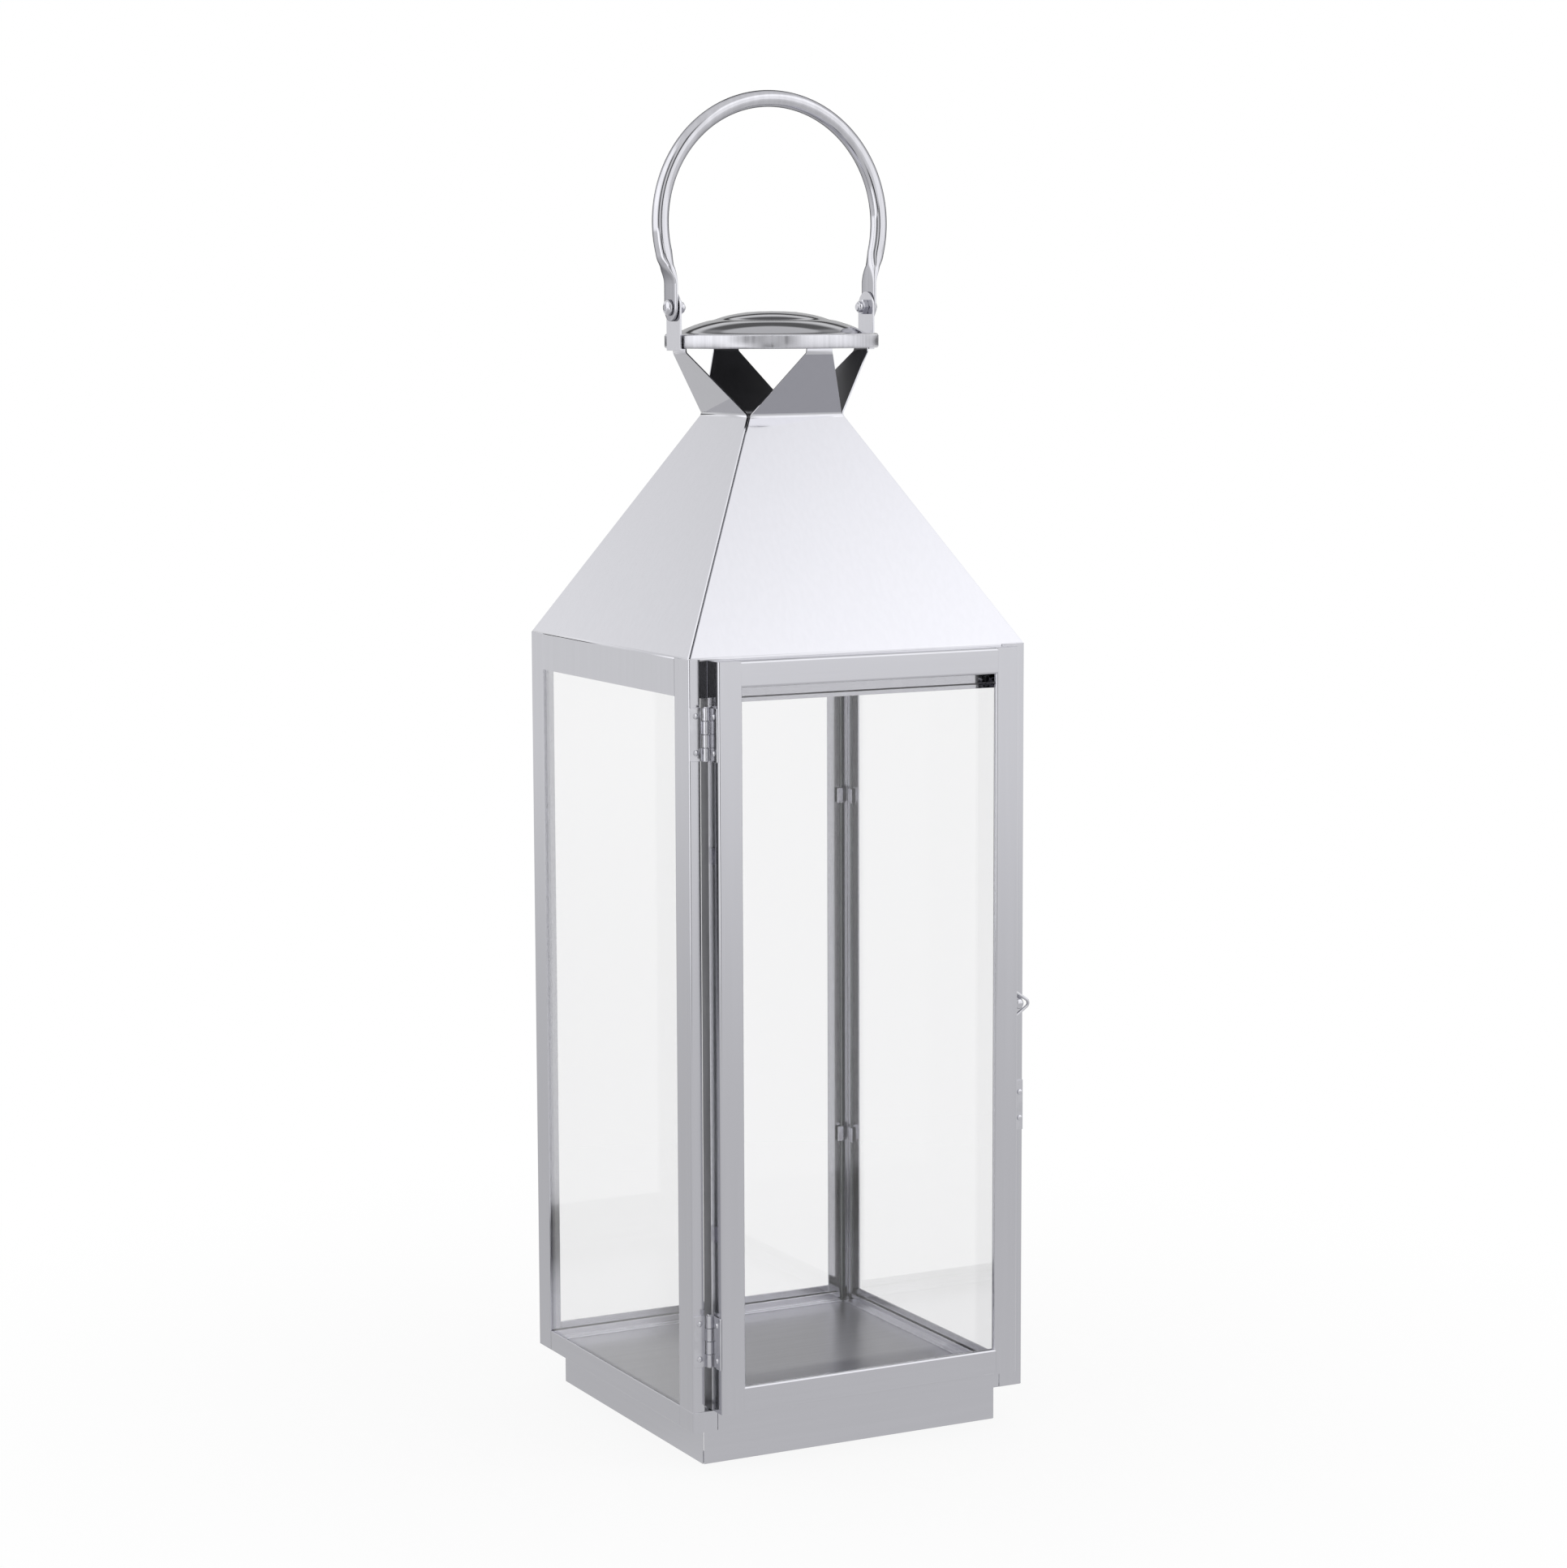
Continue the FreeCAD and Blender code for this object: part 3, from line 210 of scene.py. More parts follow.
@dataclass(frozen=True)
class PolishedMetal:
    """Polished metal: faint streaks, soft smears and a slight waviness of the surface."""

    name: str
    colour: Colour
    roughness: float
    grain: Grain
    streaks: float = 0.008
    smears: float = 0.03
    waves: float = 0.05
    wave_scale: float = 14.0
    scratches: float = 0.004
    dull_and_shaded: DullAndShaded = DullAndShaded.NONE
    edge_tint: float = 1.0
    smear_scale: float = 22.0
    wave_height: float = 1.2 * MM
    scratch_depth: float = 0.1 * MM
    painted_shade: float = 0.38
    dull_roughness: float = 0.3
    # Where each noise, and the turn of the dull faces with their painted shade, starts and ends
    streak_span: Flat = (0.3, 0.7)
    smear_span: Flat = (0.4, 0.75)
    scratch_span: Flat = (0.35, 0.75)
    left_span: Flat = (-0.9, -0.7)
    inside_span: Flat = (-0.004, -0.001)

    def dull_and_shaded_share(self, nodes: Shader) -> NodeSocket:
        """Share that is 1 on the dull faces, which are rougher and darkened with painted shade.

        Args:
            nodes: The material's tree.

        Returns:
            The share.
        """
        outputs = nodes.add("TexCoord").outputs
        place, normal = outputs["Object"], outputs["Normal"]
        if self.dull_and_shaded is DullAndShaded.LEFT:
            parts = nodes.add("SeparateXYZ", Vector=normal)
            return nodes.remap(parts.outputs["X"], self.left_span, FALLING)
        level = nodes.add("VectorMath", {"operation": "MULTIPLY"}, place, (1.0, 1.0, 0.0))
        facing = nodes.add("VectorMath", {"operation": "DOT_PRODUCT"}, normal, level.outputs["Vector"])
        return nodes.remap(facing.outputs["Value"], self.inside_span, FALLING)

    def surface(self, nodes: Shader) -> Node:
        """Lay the finish.

        Args:
            nodes: The material's tree.

        Returns:
            The shader.
        """
        streak = nodes.noise(self.grain.value, 1.0, detail=3.0)
        smear = nodes.noise(EVEN, self.smear_scale, detail=4.0)
        wave = nodes.noise(EVEN, self.wave_scale, detail=1.0)
        share = nodes.remap(streak, self.streak_span)
        tones = [shade(self.colour, 1.0 + way * self.streaks) for way in (-1, 1)]
        colour = nodes.tint(share, *tones)
        smeared = nodes.remap(smear, self.smear_span, (0.0, self.smears))
        scratched = nodes.remap(streak, self.scratch_span, (0.0, self.scratches))
        rough = nodes.math("ADD", nodes.math("ADD", self.roughness, smeared), scratched)
        if self.dull_and_shaded is not DullAndShaded.NONE:
            dull_and_shaded = self.dull_and_shaded_share(nodes)
            # Painted shade: the dull faces' colour is darkened to stand in for shade inside the lantern and
            # in the door's gap; their added roughness is real.
            colour = nodes.tint(dull_and_shaded, colour, shade(self.colour, self.painted_shade))
            rough = nodes.math("ADD", rough, nodes.times(dull_and_shaded, self.dull_roughness))
        soft = nodes.add("Bump", Strength=self.waves, Distance=self.wave_height, Height=wave)
        fine = nodes.add("Bump", Strength=self.scratches, Distance=self.scratch_depth, Height=streak)
        nodes.feed(fine.inputs["Normal"], soft.outputs[0])
        metal = nodes.add("BsdfPrincipled", Base_Color=colour, Metallic=1.0, Roughness=rough)
        nodes.feed(metal.inputs["Normal"], fine.outputs[0])
        nodes.feed(metal.inputs["Specular Tint"], shade(WHITE, self.edge_tint))
        return metal


@dataclass(frozen=True)
class ClearGlass:
    """Clear float glass with the faintest wiping marks."""

    name: str
    colour: Colour
    ior: float = 1.45
    wiping: Place = (30.0, 30.0, 6.0)
    wiping_span: Flat = (0.55, 0.8)
    marks: float = 0.012

    def surface(self, nodes: Shader) -> Node:
        """Lay the finish.

        Args:
            nodes: The material's tree.

        Returns:
            The shader.
        """
        rough = nodes.remap(nodes.noise(self.wiping, 1.0, detail=4.0), self.wiping_span, (0.0, self.marks))
        glass = nodes.add("BsdfPrincipled", Base_Color=self.colour, Roughness=rough, IOR=self.ior)
        glass.inputs["Transmission Weight"].default_value = 1.0
        return glass


@dataclass(frozen=True)
class GroundEdge:
    """The matt ground edge of a pane."""

    name: str
    colour: Colour
    roughness: float = 0.55
    grit: Place = (900.0, 900.0, 900.0)
    grit_span: Flat = (0.3, 0.7)
    grit_shade: float = 0.93

    def surface(self, nodes: Shader) -> Node:
        """Lay the finish.

        Args:
            nodes: The material's tree.

        Returns:
            The shader.
        """
        share = nodes.remap(nodes.noise(self.grit, 1.0, detail=2.0), self.grit_span)
        colour = nodes.tint(share, shade(self.colour, self.grit_shade), self.colour)
        return nodes.add("BsdfPrincipled", Base_Color=colour, Roughness=self.roughness)


STEEL: Colour = (0.55, 0.55, 0.585)


class Finish(Enum):
    """The finishes of the lantern's pieces."""

    UPRIGHT_SHEET = PolishedMetal("polished_sheet_upright", STEEL, 0.11, Grain.UPRIGHT)
    CROSS_SHEET = PolishedMetal("polished_sheet_across", STEEL, 0.11, Grain.ALONG_X)
    SIDE_SHEET = PolishedMetal("polished_sheet_sideways", STEEL, 0.11, Grain.ALONG_Y)
    # Painted shade: the roof sheets' faces that look inward are darkened to stand in for the shade inside
    # the neck.
    ROOF_SHEET = PolishedMetal(
        "polished_roof_sheet", STEEL, 0.06, Grain.UPRIGHT, waves=0.02, dull_and_shaded=DullAndShaded.INSIDE
    )
    FLOOR_SHEET = PolishedMetal("dulled_floor_sheet", STEEL, 0.3, Grain.ALONG_X, streaks=0.03, smears=0.0)
    SPUN_SHEET = PolishedMetal("spun_cap_sheet", STEEL, 0.05, Grain.NONE, waves=0.3, wave_scale=24.0)
    SPUN_RIM = PolishedMetal("satin_cap_rim", STEEL, 0.27, Grain.UPRIGHT, streaks=0.12, scratches=0.12)
    # Painted shade: the cap's underside and inner faces are given a darker colour for the shade under the
    # cap; their greater roughness is real.
    SPUN_INSIDE_SHADED = PolishedMetal("dull_shaded_cap_inside", shade(STEEL, 0.42), 0.36, Grain.NONE)
    SATIN_TUBE = PolishedMetal(
        "satin_tube", shade(STEEL, 0.95), 0.08, Grain.UPRIGHT, streaks=0.05, scratches=0.03, edge_tint=0.1
    )
    # Painted shade: the back frame's faces that look to the hinge side are darkened to stand in for the
    # shade in the gap between the door and the post.
    DOOR_BACK = PolishedMetal("door_back_sheet", STEEL, 0.11, Grain.UPRIGHT, dull_and_shaded=DullAndShaded.LEFT)
    BRIGHT_PLATE = PolishedMetal("bright_plated_steel", shade(STEEL, 1.02), 0.14, Grain.NONE, streaks=0.05)
    GLASS = ClearGlass("clear_glass", (0.949, 0.949, 0.952))
    GLASS_EDGE = GroundEdge("ground_glass_edge", (0.74, 0.78, 0.77))


class Slot(Enum):
    """The record's material slots."""

    SHEET = "sheet"
    HANDLE = "handle"
    HARDWARE = "hardware"
    GLASS = "glass"


# Mesh helpers

def join(made: Mesh, rows: Sequence[Sequence[Vector]], loop: bool = False) -> list[list[bmesh.types.BMVert]]:
    """Join rows of points in order, each row closed on itself.

    Args:
        made: The mesh that takes the faces.
        rows: Rows of one point or of equal counts.
        loop: The last row is joined to the first.

    Returns:
        The rows' new vertices.
    """
    placed = [[made.verts.new(point) for point in row] for row in rows]
    count = max(len(row) for row in placed)
    for low, high in zip(placed, placed[1:] + (placed[:1] if loop else [])):
        for step in range(count):
            after = (step + 1) % count
            corners = [low[step % len(low)], low[after % len(low)]]
            corners += [high[after % len(high)], high[step % len(high)]]
            made.faces.new(list(dict.fromkeys(corners)))
    return placed


def skin(made: Mesh, rings: Sequence[Sequence[Vector]]) -> None:
    """Join rings of points in order, and close both ends.

    Args:
        made: The mesh that takes the faces.
        rings: Rings of equal counts.
    """
    placed = join(made, rings)
    made.faces.new(placed[0])
    made.faces.new(placed[-1])


def around(count: int) -> list[float]:
    """Angles of points spaced evenly round a circle."""
    return [2.0 * math.pi * step / count for step in range(count)]


def lathe(made: Mesh, profile: Sequence[Flat], axis: Matrix, steps: int, loop: bool = False) -> None:
    """Turn a profile about an axis.

    Args:
        made: The mesh that takes the faces.
        profile: Radius and height of each point, in order.
        axis: Placement whose Z is the axis.
        steps: Number of points round the axis.
        loop: The profile closes on itself, instead of ending on the axis at both ends.
    """
    rows = []
    for radius, height in profile:
        angles = around(steps if radius else 1)
        points = [Vector((radius * math.cos(angle), radius * math.sin(angle), height)) for angle in angles]
        rows.append([axis @ point for point in points])
    join(made, rows, loop)


def raised(outline: Sequence[Flat], low: float, high: float) -> list[list[Vector]]:
    """Two rings of an outline in X and Y, at two heights."""
    return [[Vector((x, y, z)) for x, y in outline] for z in (low, high)]


def block(made: Mesh, low: Place, high: Place) -> None:
    """Add a box between two corners."""
    ring = [(low[0], low[1]), (high[0], low[1]), (high[0], high[1]), (low[0], high[1])]
    skin(made, raised(ring, low[2], high[2]))


def in_metres(profile: Sequence[Flat], rise: float = 0.0) -> list[Flat]:
    """Points given in millimetres, in metres, with their second number raised."""
    return [(first * MM, rise + second * MM) for first, second in profile]


def folded(corners: Sequence[Flat], radius: float, sheet: float, steps: int = 6) -> list[Flat]:
    """Section of a folded sheet.

    Args:
        corners: The outside line of the section, with the sheet's thickness on its left.
        radius: Outside radius of each square fold.
        sheet: Thickness of the sheet.
        steps: Number of parts in each fold.

    Returns:
        The closed outline of the section.
    """
    points = [Vector(corner) for corner in corners]
    runs = [(after - before).normalized() for before, after in zip(points, points[1:])]
    lefts = [Vector((-run.y, run.x)) for run in runs]
    outside = [points[0]]
    inside = [points[0] + lefts[0] * sheet]
    for point, before, after in zip(points[1:-1], lefts, lefts[1:]):
        centre = point + (before + after) * radius
        for step in range(steps + 1):
            turn = math.pi / 2.0 * step / steps
            outward = -(before * math.cos(turn) + after * math.sin(turn))
            outside.append(centre + outward * radius)
            inside.append(centre + outward * (radius - sheet))
    outside.append(points[-1])
    inside.append(points[-1] + lefts[-1] * sheet)
    return [(point.x, point.y) for point in outside + inside[::-1]]


class Axis(Enum):
    """Placements whose Z points along a direction of the lantern."""

    UP = Matrix.Identity(4)
    RIGHT = Matrix.Rotation(math.pi / 2.0, 4, "Y")
    LEFT = Matrix.Rotation(-math.pi / 2.0, 4, "Y")
    FRONT = Matrix.Rotation(math.pi / 2.0, 4, "X")

    def at(self, x: float = 0.0, y: float = 0.0, z: float = 0.0) -> Matrix:
        """Placement along this direction at a point."""
        return Matrix.Translation((x, y, z)) @ self.value


def set_out(name: str, data: bpy.types.ID) -> Object:
    """Set a new object in the scene.

    Args:
        name: The object's name.
        data: The mesh, light or camera that it shows.

    Returns:
        The new object.
    """
    thing = bpy.data.objects.new(name, data)
    bpy.context.scene.collection.objects.link(thing)
    return thing


def mesh_from(name: str, made: Mesh) -> bpy.types.Mesh:
    """Mesh with its faces turned outwards, which uses up what it is made from.

    Args:
        name: The mesh's name.
        made: What it is made from.

    Returns:
        The new mesh.
    """
    bmesh.ops.recalc_face_normals(made, faces=made.faces)
    mesh = bpy.data.meshes.new(name)
    made.to_mesh(mesh)
    made.free()
    return mesh


class Workshop:
    """Keeps one material for each finish, and makes, finishes and fixes pieces."""

    fold_angle: float = 50.0
    solid_angle: float = 28.0
    flat_angle: float = 0.5
    weld_reach: float = 1e-6

    def __init__(self) -> None:
        """Start with no materials made."""
        self.made: dict[Finish, Material] = {}

    def material(self, finish: Finish) -> Material:
        """The material of a finish, made when first asked for.

        Args:
            finish: The finish.

        Returns:
            Its material.
        """
        if finish not in self.made:
            material = bpy.data.materials.new(finish.value.name)
            nodes = Shader(material)
            nodes.add("OutputMaterial", Surface=finish.value.surface(nodes).outputs[0])
            self.made[finish] = material
        return self.made[finish]

    def coat(self, piece: Object, *finishes: Finish) -> None:
        """Give a piece its finishes, in place of any that it has.

        Args:
            piece: The piece.
            *finishes: The finishes, in the order of its faces' material numbers.
        """
        if piece.data.materials:
            piece.data.materials.clear()
        for finish in finishes:
            piece.data.materials.append(self.material(finish))

    def round_edges(self, piece: Object, width: float, angle: float) -> bpy.types.Modifier:
        """Round a piece's sharp edges.

        Args:
            piece: The piece.
            width: Width of the rounding.
            angle: Least angle in degrees of an edge that is rounded.

        Returns:
            The modifier that rounds them.
        """
        edges = piece.modifiers.new("softened", "BEVEL")
        edges.width = width
        edges.segments = 2
        edges.limit_method = "ANGLE"
        edges.angle_limit = math.radians(angle)
        return edges

    def soften(self, piece: Object, width: float, angle: float = fold_angle) -> None:
        """Round the cut edges of a piece that has folds, and keep its flats flat beside them.

        Args:
            piece: The piece.
            width: Width of the rounding.
            angle: Least angle in degrees of an edge that is rounded.
        """
        self.round_edges(piece, width, angle)
        flats = piece.modifiers.new("flats", "WEIGHTED_NORMAL")
        flats.weight = 100
        flats.keep_sharp = True

    def dress(self, node: str, finish: Finish, edge: float = 0.0) -> None:
        """Give a solid its finish and soften its edges.

        Args:
            node: The solid's name.
            finish: Its finish.
            edge: Width of the rounding along its sharp edges, or 0 for none.
        """
        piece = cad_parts[node]
        self.coat(piece, finish)
        if edge:
            weld = piece.modifiers.new("joined", "WELD")
            weld.merge_threshold = self.weld_reach
            plain = piece.modifiers.new("plain_faces", "DECIMATE")
            plain.decimate_type = "DISSOLVE"
            plain.angle_limit = math.radians(self.flat_angle)
            self.round_edges(piece, edge, self.solid_angle).harden_normals = True
        LOG.info("dressed %s with %s", node, finish.value.name)

    def piece(
        self,
        name: str,
        made: Mesh,
        finish: Finish,
        body: str,
        slot: Slot,
        stands_for: Sequence[str] = (),
        sharp: float = 40.0,
        others: Sequence[Finish] = (),
    ) -> Object:
        """Finish a mesh as a piece of the lantern.

        Args:
            name: The piece's name.
            made: Its mesh, which is used up.
            finish: Its finish.
            body: The body that it moves with.
            slot: The record's slot that its finish belongs to; not used.
            stands_for: The solids that it replaces.
            sharp: Angle in degrees from which an edge stays sharp.
            others: The finishes of its faces with material numbers from 1.

        Returns:
            The new piece.
        """
        mesh = mesh_from(name, made)
        mesh.shade_smooth()
        mesh.set_sharp_from_angle(angle=math.radians(sharp))
        piece = set_out(name, mesh)
        self.coat(piece, finish, *others)
        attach(piece, body)
        if stands_for:
            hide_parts(*stands_for)
        LOG.info("made %s on %s", name, body)
        return piece

    def folded_piece(self, node: str, made: Mesh, finish: Finish, body: str, edge: float) -> None:
        """Finish a folded sheet in place of a solid, and round its cut edges by a width."""
        self.soften(self.piece(f"folded_{node}", made, finish, body, Slot.SHEET, [node]), edge)


# Sub-assemblies

SIDES = ("front", "right", "back", "left")


def along_side(side: str) -> Finish:
    """Finish whose streaks run along a side of the square."""
    return Finish.CROSS_SHEET if side in ("front", "back") else Finish.SIDE_SHEET


@dataclass
class Base:
    """Plinth, floor plate, sill and rails."""

    edge: float = 0.25 * MM

    def dress(self, shop: Workshop) -> None:
        """Finish the base's solids.

        Args:
            shop: The workshop.
        """
        for side in SIDES:
            shop.dress(f"plinth_{side}", along_side(side), self.edge)
            shop.dress("sill_front" if side == "front" else f"rail_{side}", along_side(side), self.edge)
        shop.dress("floor_plate", Finish.FLOOR_SHEET)


@dataclass
class Posts:
    """The four corner posts, angles with a rounded fold."""

    half: float = 90.0 * MM
    low: float = 19.0 * MM
    ledge: float = 29.0 * MM
    top: float = 385.0 * MM
    front_leg: float = 12.8 * MM
    strip: float = 5.9 * MM
    side_leg: float = 14.8 * MM
    sheet: float = 0.8 * MM
    fold: float = 1.3 * MM
    edge: float = 0.12 * MM

    def section(self, right: int, back: int, leg: float) -> list[Flat]:
        """Section of a post.

        Args:
            right: The corner's sign in X.
            back: The corner's sign in Y.
            leg: Width of its leg on the front or back.

        Returns:
            The closed outline.
        """
        along = (right * (self.half - leg), back * self.half)
        corner = (right * self.half, back * self.half)
        beside = (right * self.half, back * (self.half - self.side_leg))
        line = [along, corner, beside]
        return folded(line if right * back < 0 else line[::-1], self.fold, self.sheet)

    def build(self, shop: Workshop) -> None:
        """Fold the posts.

        Args:
            shop: The workshop.
        """
        corners = {"front_left": (-1, -1), "front_right": (1, -1)}
        corners |= {"back_left": (-1, 1), "back_right": (1, 1)}
        for corner, signs in corners.items():
            made = bmesh.new()
            hinged = corner == "front_left"
            end = self.ledge if hinged else self.top
            skin(made, raised(self.section(*signs, self.front_leg), self.low, end))
            if hinged:
                skin(made, raised(self.section(*signs, self.strip), self.ledge, self.top))
            shop.folded_piece(f"post_{corner}", made, Finish.UPRIGHT_SHEET, "frame", self.edge)


@dataclass
class Roof:
    """The four folded roof sheets, the spun cap and the handle's ears."""

    edge: float = 0.2 * MM
    rim: float = 526.0 * MM
    rim_from: float = 51.4 * MM
    inside_from: float = 50.6 * MM
    upright: float = 0.6
    downward: float = -0.1
    # Radius and height over the rim's foot, in millimetres: outside from the crown down, then up the inside
    cap: tuple[Flat, ...] = (
        (0.0, 17.6), (6.0, 17.52), (11.7, 17.2), (16.5, 16.5), (20.5, 15.75), (24.0, 14.85), (26.5, 14.05),
        (28.0, 13.5), (29.0, 13.28), (30.0, 13.15), (31.5, 12.85), (34.0, 12.15), (37.0, 11.2), (40.5, 9.85),
        (43.5, 8.5), (45.4, 7.5), (46.6, 6.98), (47.5, 6.78), (48.4, 6.75), (49.2, 6.85), (49.8, 6.98),
        (50.5, 6.98), (51.2, 6.8), (51.75, 6.4), (52.0, 5.8), (52.0, 1.1), (51.9, 0.5), (51.6, 0.1),
        (51.2, 0.0), (50.85, 0.15), (50.75, 0.5), (50.9, 0.85), (51.2, 1.0), (51.2, 5.7), (50.9, 6.1),
        (50.4, 6.25), (48.4, 6.2), (47.0, 6.15), (45.2, 6.7), (43.0, 7.75), (40.0, 9.1), (36.5, 10.45),
        (33.5, 11.4), (30.0, 12.35), (28.0, 12.7), (26.0, 13.4), (20.0, 15.05), (11.7, 16.4), (0.0, 16.8),
    )

    def build(self, shop: Workshop) -> None:
        """Spin the cap, with its rim and its inside in finishes of their own, the inside darkened with
        painted shade.

        Args:
            shop: The workshop.
        """
        made = bmesh.new()
        lathe(made, in_metres(self.cap), Axis.UP.at(z=self.rim), steps=128)
        bmesh.ops.recalc_face_normals(made, faces=made.faces)
        for face in made.faces:
            radius = face.calc_center_median().xy.length
            standing = abs(face.normal.z) < self.upright
            if radius > self.rim_from and standing:
                face.material_index = 1
            elif face.normal.z < self.downward or radius > self.inside_from and standing:
                face.material_index = 2
        # The inside's finish carries painted shade.
        others = (Finish.SPUN_RIM, Finish.SPUN_INSIDE_SHADED)
        shop.piece(
            "spun_cap", made, Finish.SPUN_SHEET, "frame", Slot.SHEET, ["vent_cap"], sharp=60.0, others=others
        )

    def dress(self, shop: Workshop) -> None:
        """Finish the roof's solids.

        Args:
            shop: The workshop.
        """
        for side in SIDES:
            shop.dress(f"roof_{side}", Finish.ROOF_SHEET, self.edge)
        for side in ("left", "right"):
            shop.dress(f"ear_{side}", Finish.UPRIGHT_SHEET, self.edge)


@dataclass
class Handle:
    """The bent tube with its pressed ends, and its pivots."""

    pivot: float = 545.5 * MM
    bow_height: float = 586.0 * MM
    bow_radius: float = 59.4 * MM
    bow_over: float = math.radians(14.0)
    bow_steps: int = 120
    tube: float = 4.0 * MM
    tube_points: int = 40
    paddle_in: float = 53.2 * MM
    paddle_top: float = 556.5 * MM
    paddle_half: float = 6.5 * MM
    paddle_thin: float = 0.8 * MM
    paddle_power: float = 6.0
    paddle_tip: tuple[float, ...] = radians(-88, -80, -70, -58, -45, -30, -15)
    paddle_levels: tuple[float, ...] = (0.0, 0.35, 0.7, 0.92)
    press_steps: int = 22
    round_early: float = 1.6
    screw_tip: float = 47.0 * MM
    head_in: float = 55.0 * MM
    # Radius and height in millimetres: the screw's point and shank from its tip, then its head from its seat
    point: tuple[Flat, ...] = ((0.0, 0.0), (1.5, 0.0), (1.9, 0.4))
    head: tuple[Flat, ...] = (
        (1.95, 0.0), (3.9, 0.0), (3.9, 0.5), (3.82, 0.9), (3.55, 1.4), (3.1, 1.85), (2.4, 2.2), (1.4, 2.37),
        (0.0, 2.4),
    )
    cross_long: float = 1.9 * MM
    cross_slim: float = 0.42 * MM
    cross_from: float = 1.25 * MM
    cross_to: float = 2.6 * MM
    cross_taper: float = 0.55
    nut_out: float = 52.0 * MM
    nut_in: float = 49.2 * MM
    nut_half: float = 3.5 * MM
    nut_face: float = 0.97
    nut_slope: float = 0.55
    nut_points: int = 48
    bore: float = 2.0 * MM
    collar_in: float = 47.6 * MM
    # Radius and height over the collar's end, in millimetres
    collar: tuple[Flat, ...] = ((2.75, 1.6), (2.7, 0.5), (2.4, 0.1))

    def ring(self, x: float, z: float, tilt: float, thin: float, wide: float, power: float) -> list[Vector]:
        """Section of the tube.

        Args:
            x: Place of its middle.
            z: Height of its middle.
            tilt: Lean of the section about Y.
            thin: Half its size in the bow's plane.
            wide: Half its size along Y.
            power: Power of its outline, 2 for a round.

        Returns:
            The points round it.
        """
        across = Vector((math.cos(tilt), 0.0, -math.sin(tilt)))
        points = []
        for angle in around(self.tube_points):
            in_plane = math.copysign(abs(math.cos(angle)) ** (2.0 / power), math.cos(angle)) * thin
            along_y = math.copysign(abs(math.sin(angle)) ** (2.0 / power), math.sin(angle)) * wide
            points.append(Vector((x, along_y, z)) + across * in_plane)
        return points

    def end_rings(self) -> list[list[Vector]]:
        """Sections of the right end.

        Returns:
            The rings of points, from the paddle's tip up to the bow.
        """
        thin, half, power = self.paddle_thin, self.paddle_half, self.paddle_power
        middle = self.paddle_in + thin
        flats = [(half * math.sin(turn), math.cos(turn)) for turn in self.paddle_tip]
        flats += [((self.paddle_top - self.pivot) * level, 1.0) for level in self.paddle_levels]
        rings = [self.ring(middle, self.pivot + up, 0.0, thin, half * share, power) for up, share in flats]
        bow_end = self.bow_height - self.bow_radius * math.sin(self.bow_over)
        inner_bow = (self.bow_radius - self.tube) * math.cos(self.bow_over)
        for step in range(self.press_steps):
            up = step / self.press_steps
            rounded = up * up * (3.0 - 2.0 * up)
            depth = thin + (self.tube - thin) * rounded
            width = half + (self.tube - half) * rounded
            inner = self.paddle_in + (inner_bow - self.paddle_in) * up ** 3
            height = self.paddle_top + (bow_end - self.paddle_top) * up
            tilt = self.bow_over * rounded
            outline = power - (power - 2.0) * min(1.0, rounded * self.round_early)
            rings.append(self.ring(inner + depth * math.cos(tilt), height, tilt, depth, width, outline))
        return rings

    def build_tube(self, shop: Workshop) -> None:
        """Bend the tube.

        Args:
            shop: The workshop.
        """
        right = self.end_rings()
        rings = list(right)
        reach = math.pi / 2.0 + self.bow_over
        for step in range(self.bow_steps + 1):
            angle = reach - 2.0 * reach * step / self.bow_steps
            x = self.bow_radius * math.sin(angle)
            z = self.bow_height + self.bow_radius * math.cos(angle)
            rings.append(self.ring(x, z, angle - math.pi / 2.0, self.tube, self.tube, 2.0))
        rings += [[Vector((-point.x, point.y, point.z)) for point in ring] for ring in reversed(right)]
        made = bmesh.new()
        skin(made, rings)
        finish = Finish.SATIN_TUBE
        shop.piece("bent_tube_handle", made, finish, "handle", Slot.HANDLE, ["handle"], sharp=50.0)

    def recess(self, shop: Workshop, screw: Object, sign: int) -> None:
        """Cut the cross in a screw's head.

        Args:
            shop: The workshop.
            screw: The screw.
            sign: 1 for the right screw and -1 for the left.
        """
        made = bmesh.new()
        for reach_y, reach_z in ((self.cross_long, self.cross_slim), (self.cross_slim, self.cross_long)):
            rings = []
            for x, share in ((self.cross_from, self.cross_taper), (self.cross_to, 1.0)):
                y, z = reach_y * share, reach_z * share
                corners = [(-y, -z), (y, -z), (y, z), (-y, z)]
                outward = sign * (self.head_in + x)
                rings.append([Vector((outward, across, self.pivot + up)) for across, up in corners])
            skin(made, rings)
        cutter = set_out("cross", mesh_from("cross", made))
        cut = screw.modifiers.new("cross", "BOOLEAN")
        cut.object = cutter
        cut.solver = "EXACT"
        cut.use_self = True
        bpy.context.view_layer.update()
        whole = screw.evaluated_get(bpy.context.evaluated_depsgraph_get())
        plain, screw.data = screw.data, bpy.data.meshes.new_from_object(whole)
        screw.modifiers.clear()
        for mesh in (plain, cutter.data):
            bpy.data.meshes.remove(mesh)
        shop.coat(screw, Finish.BRIGHT_PLATE)

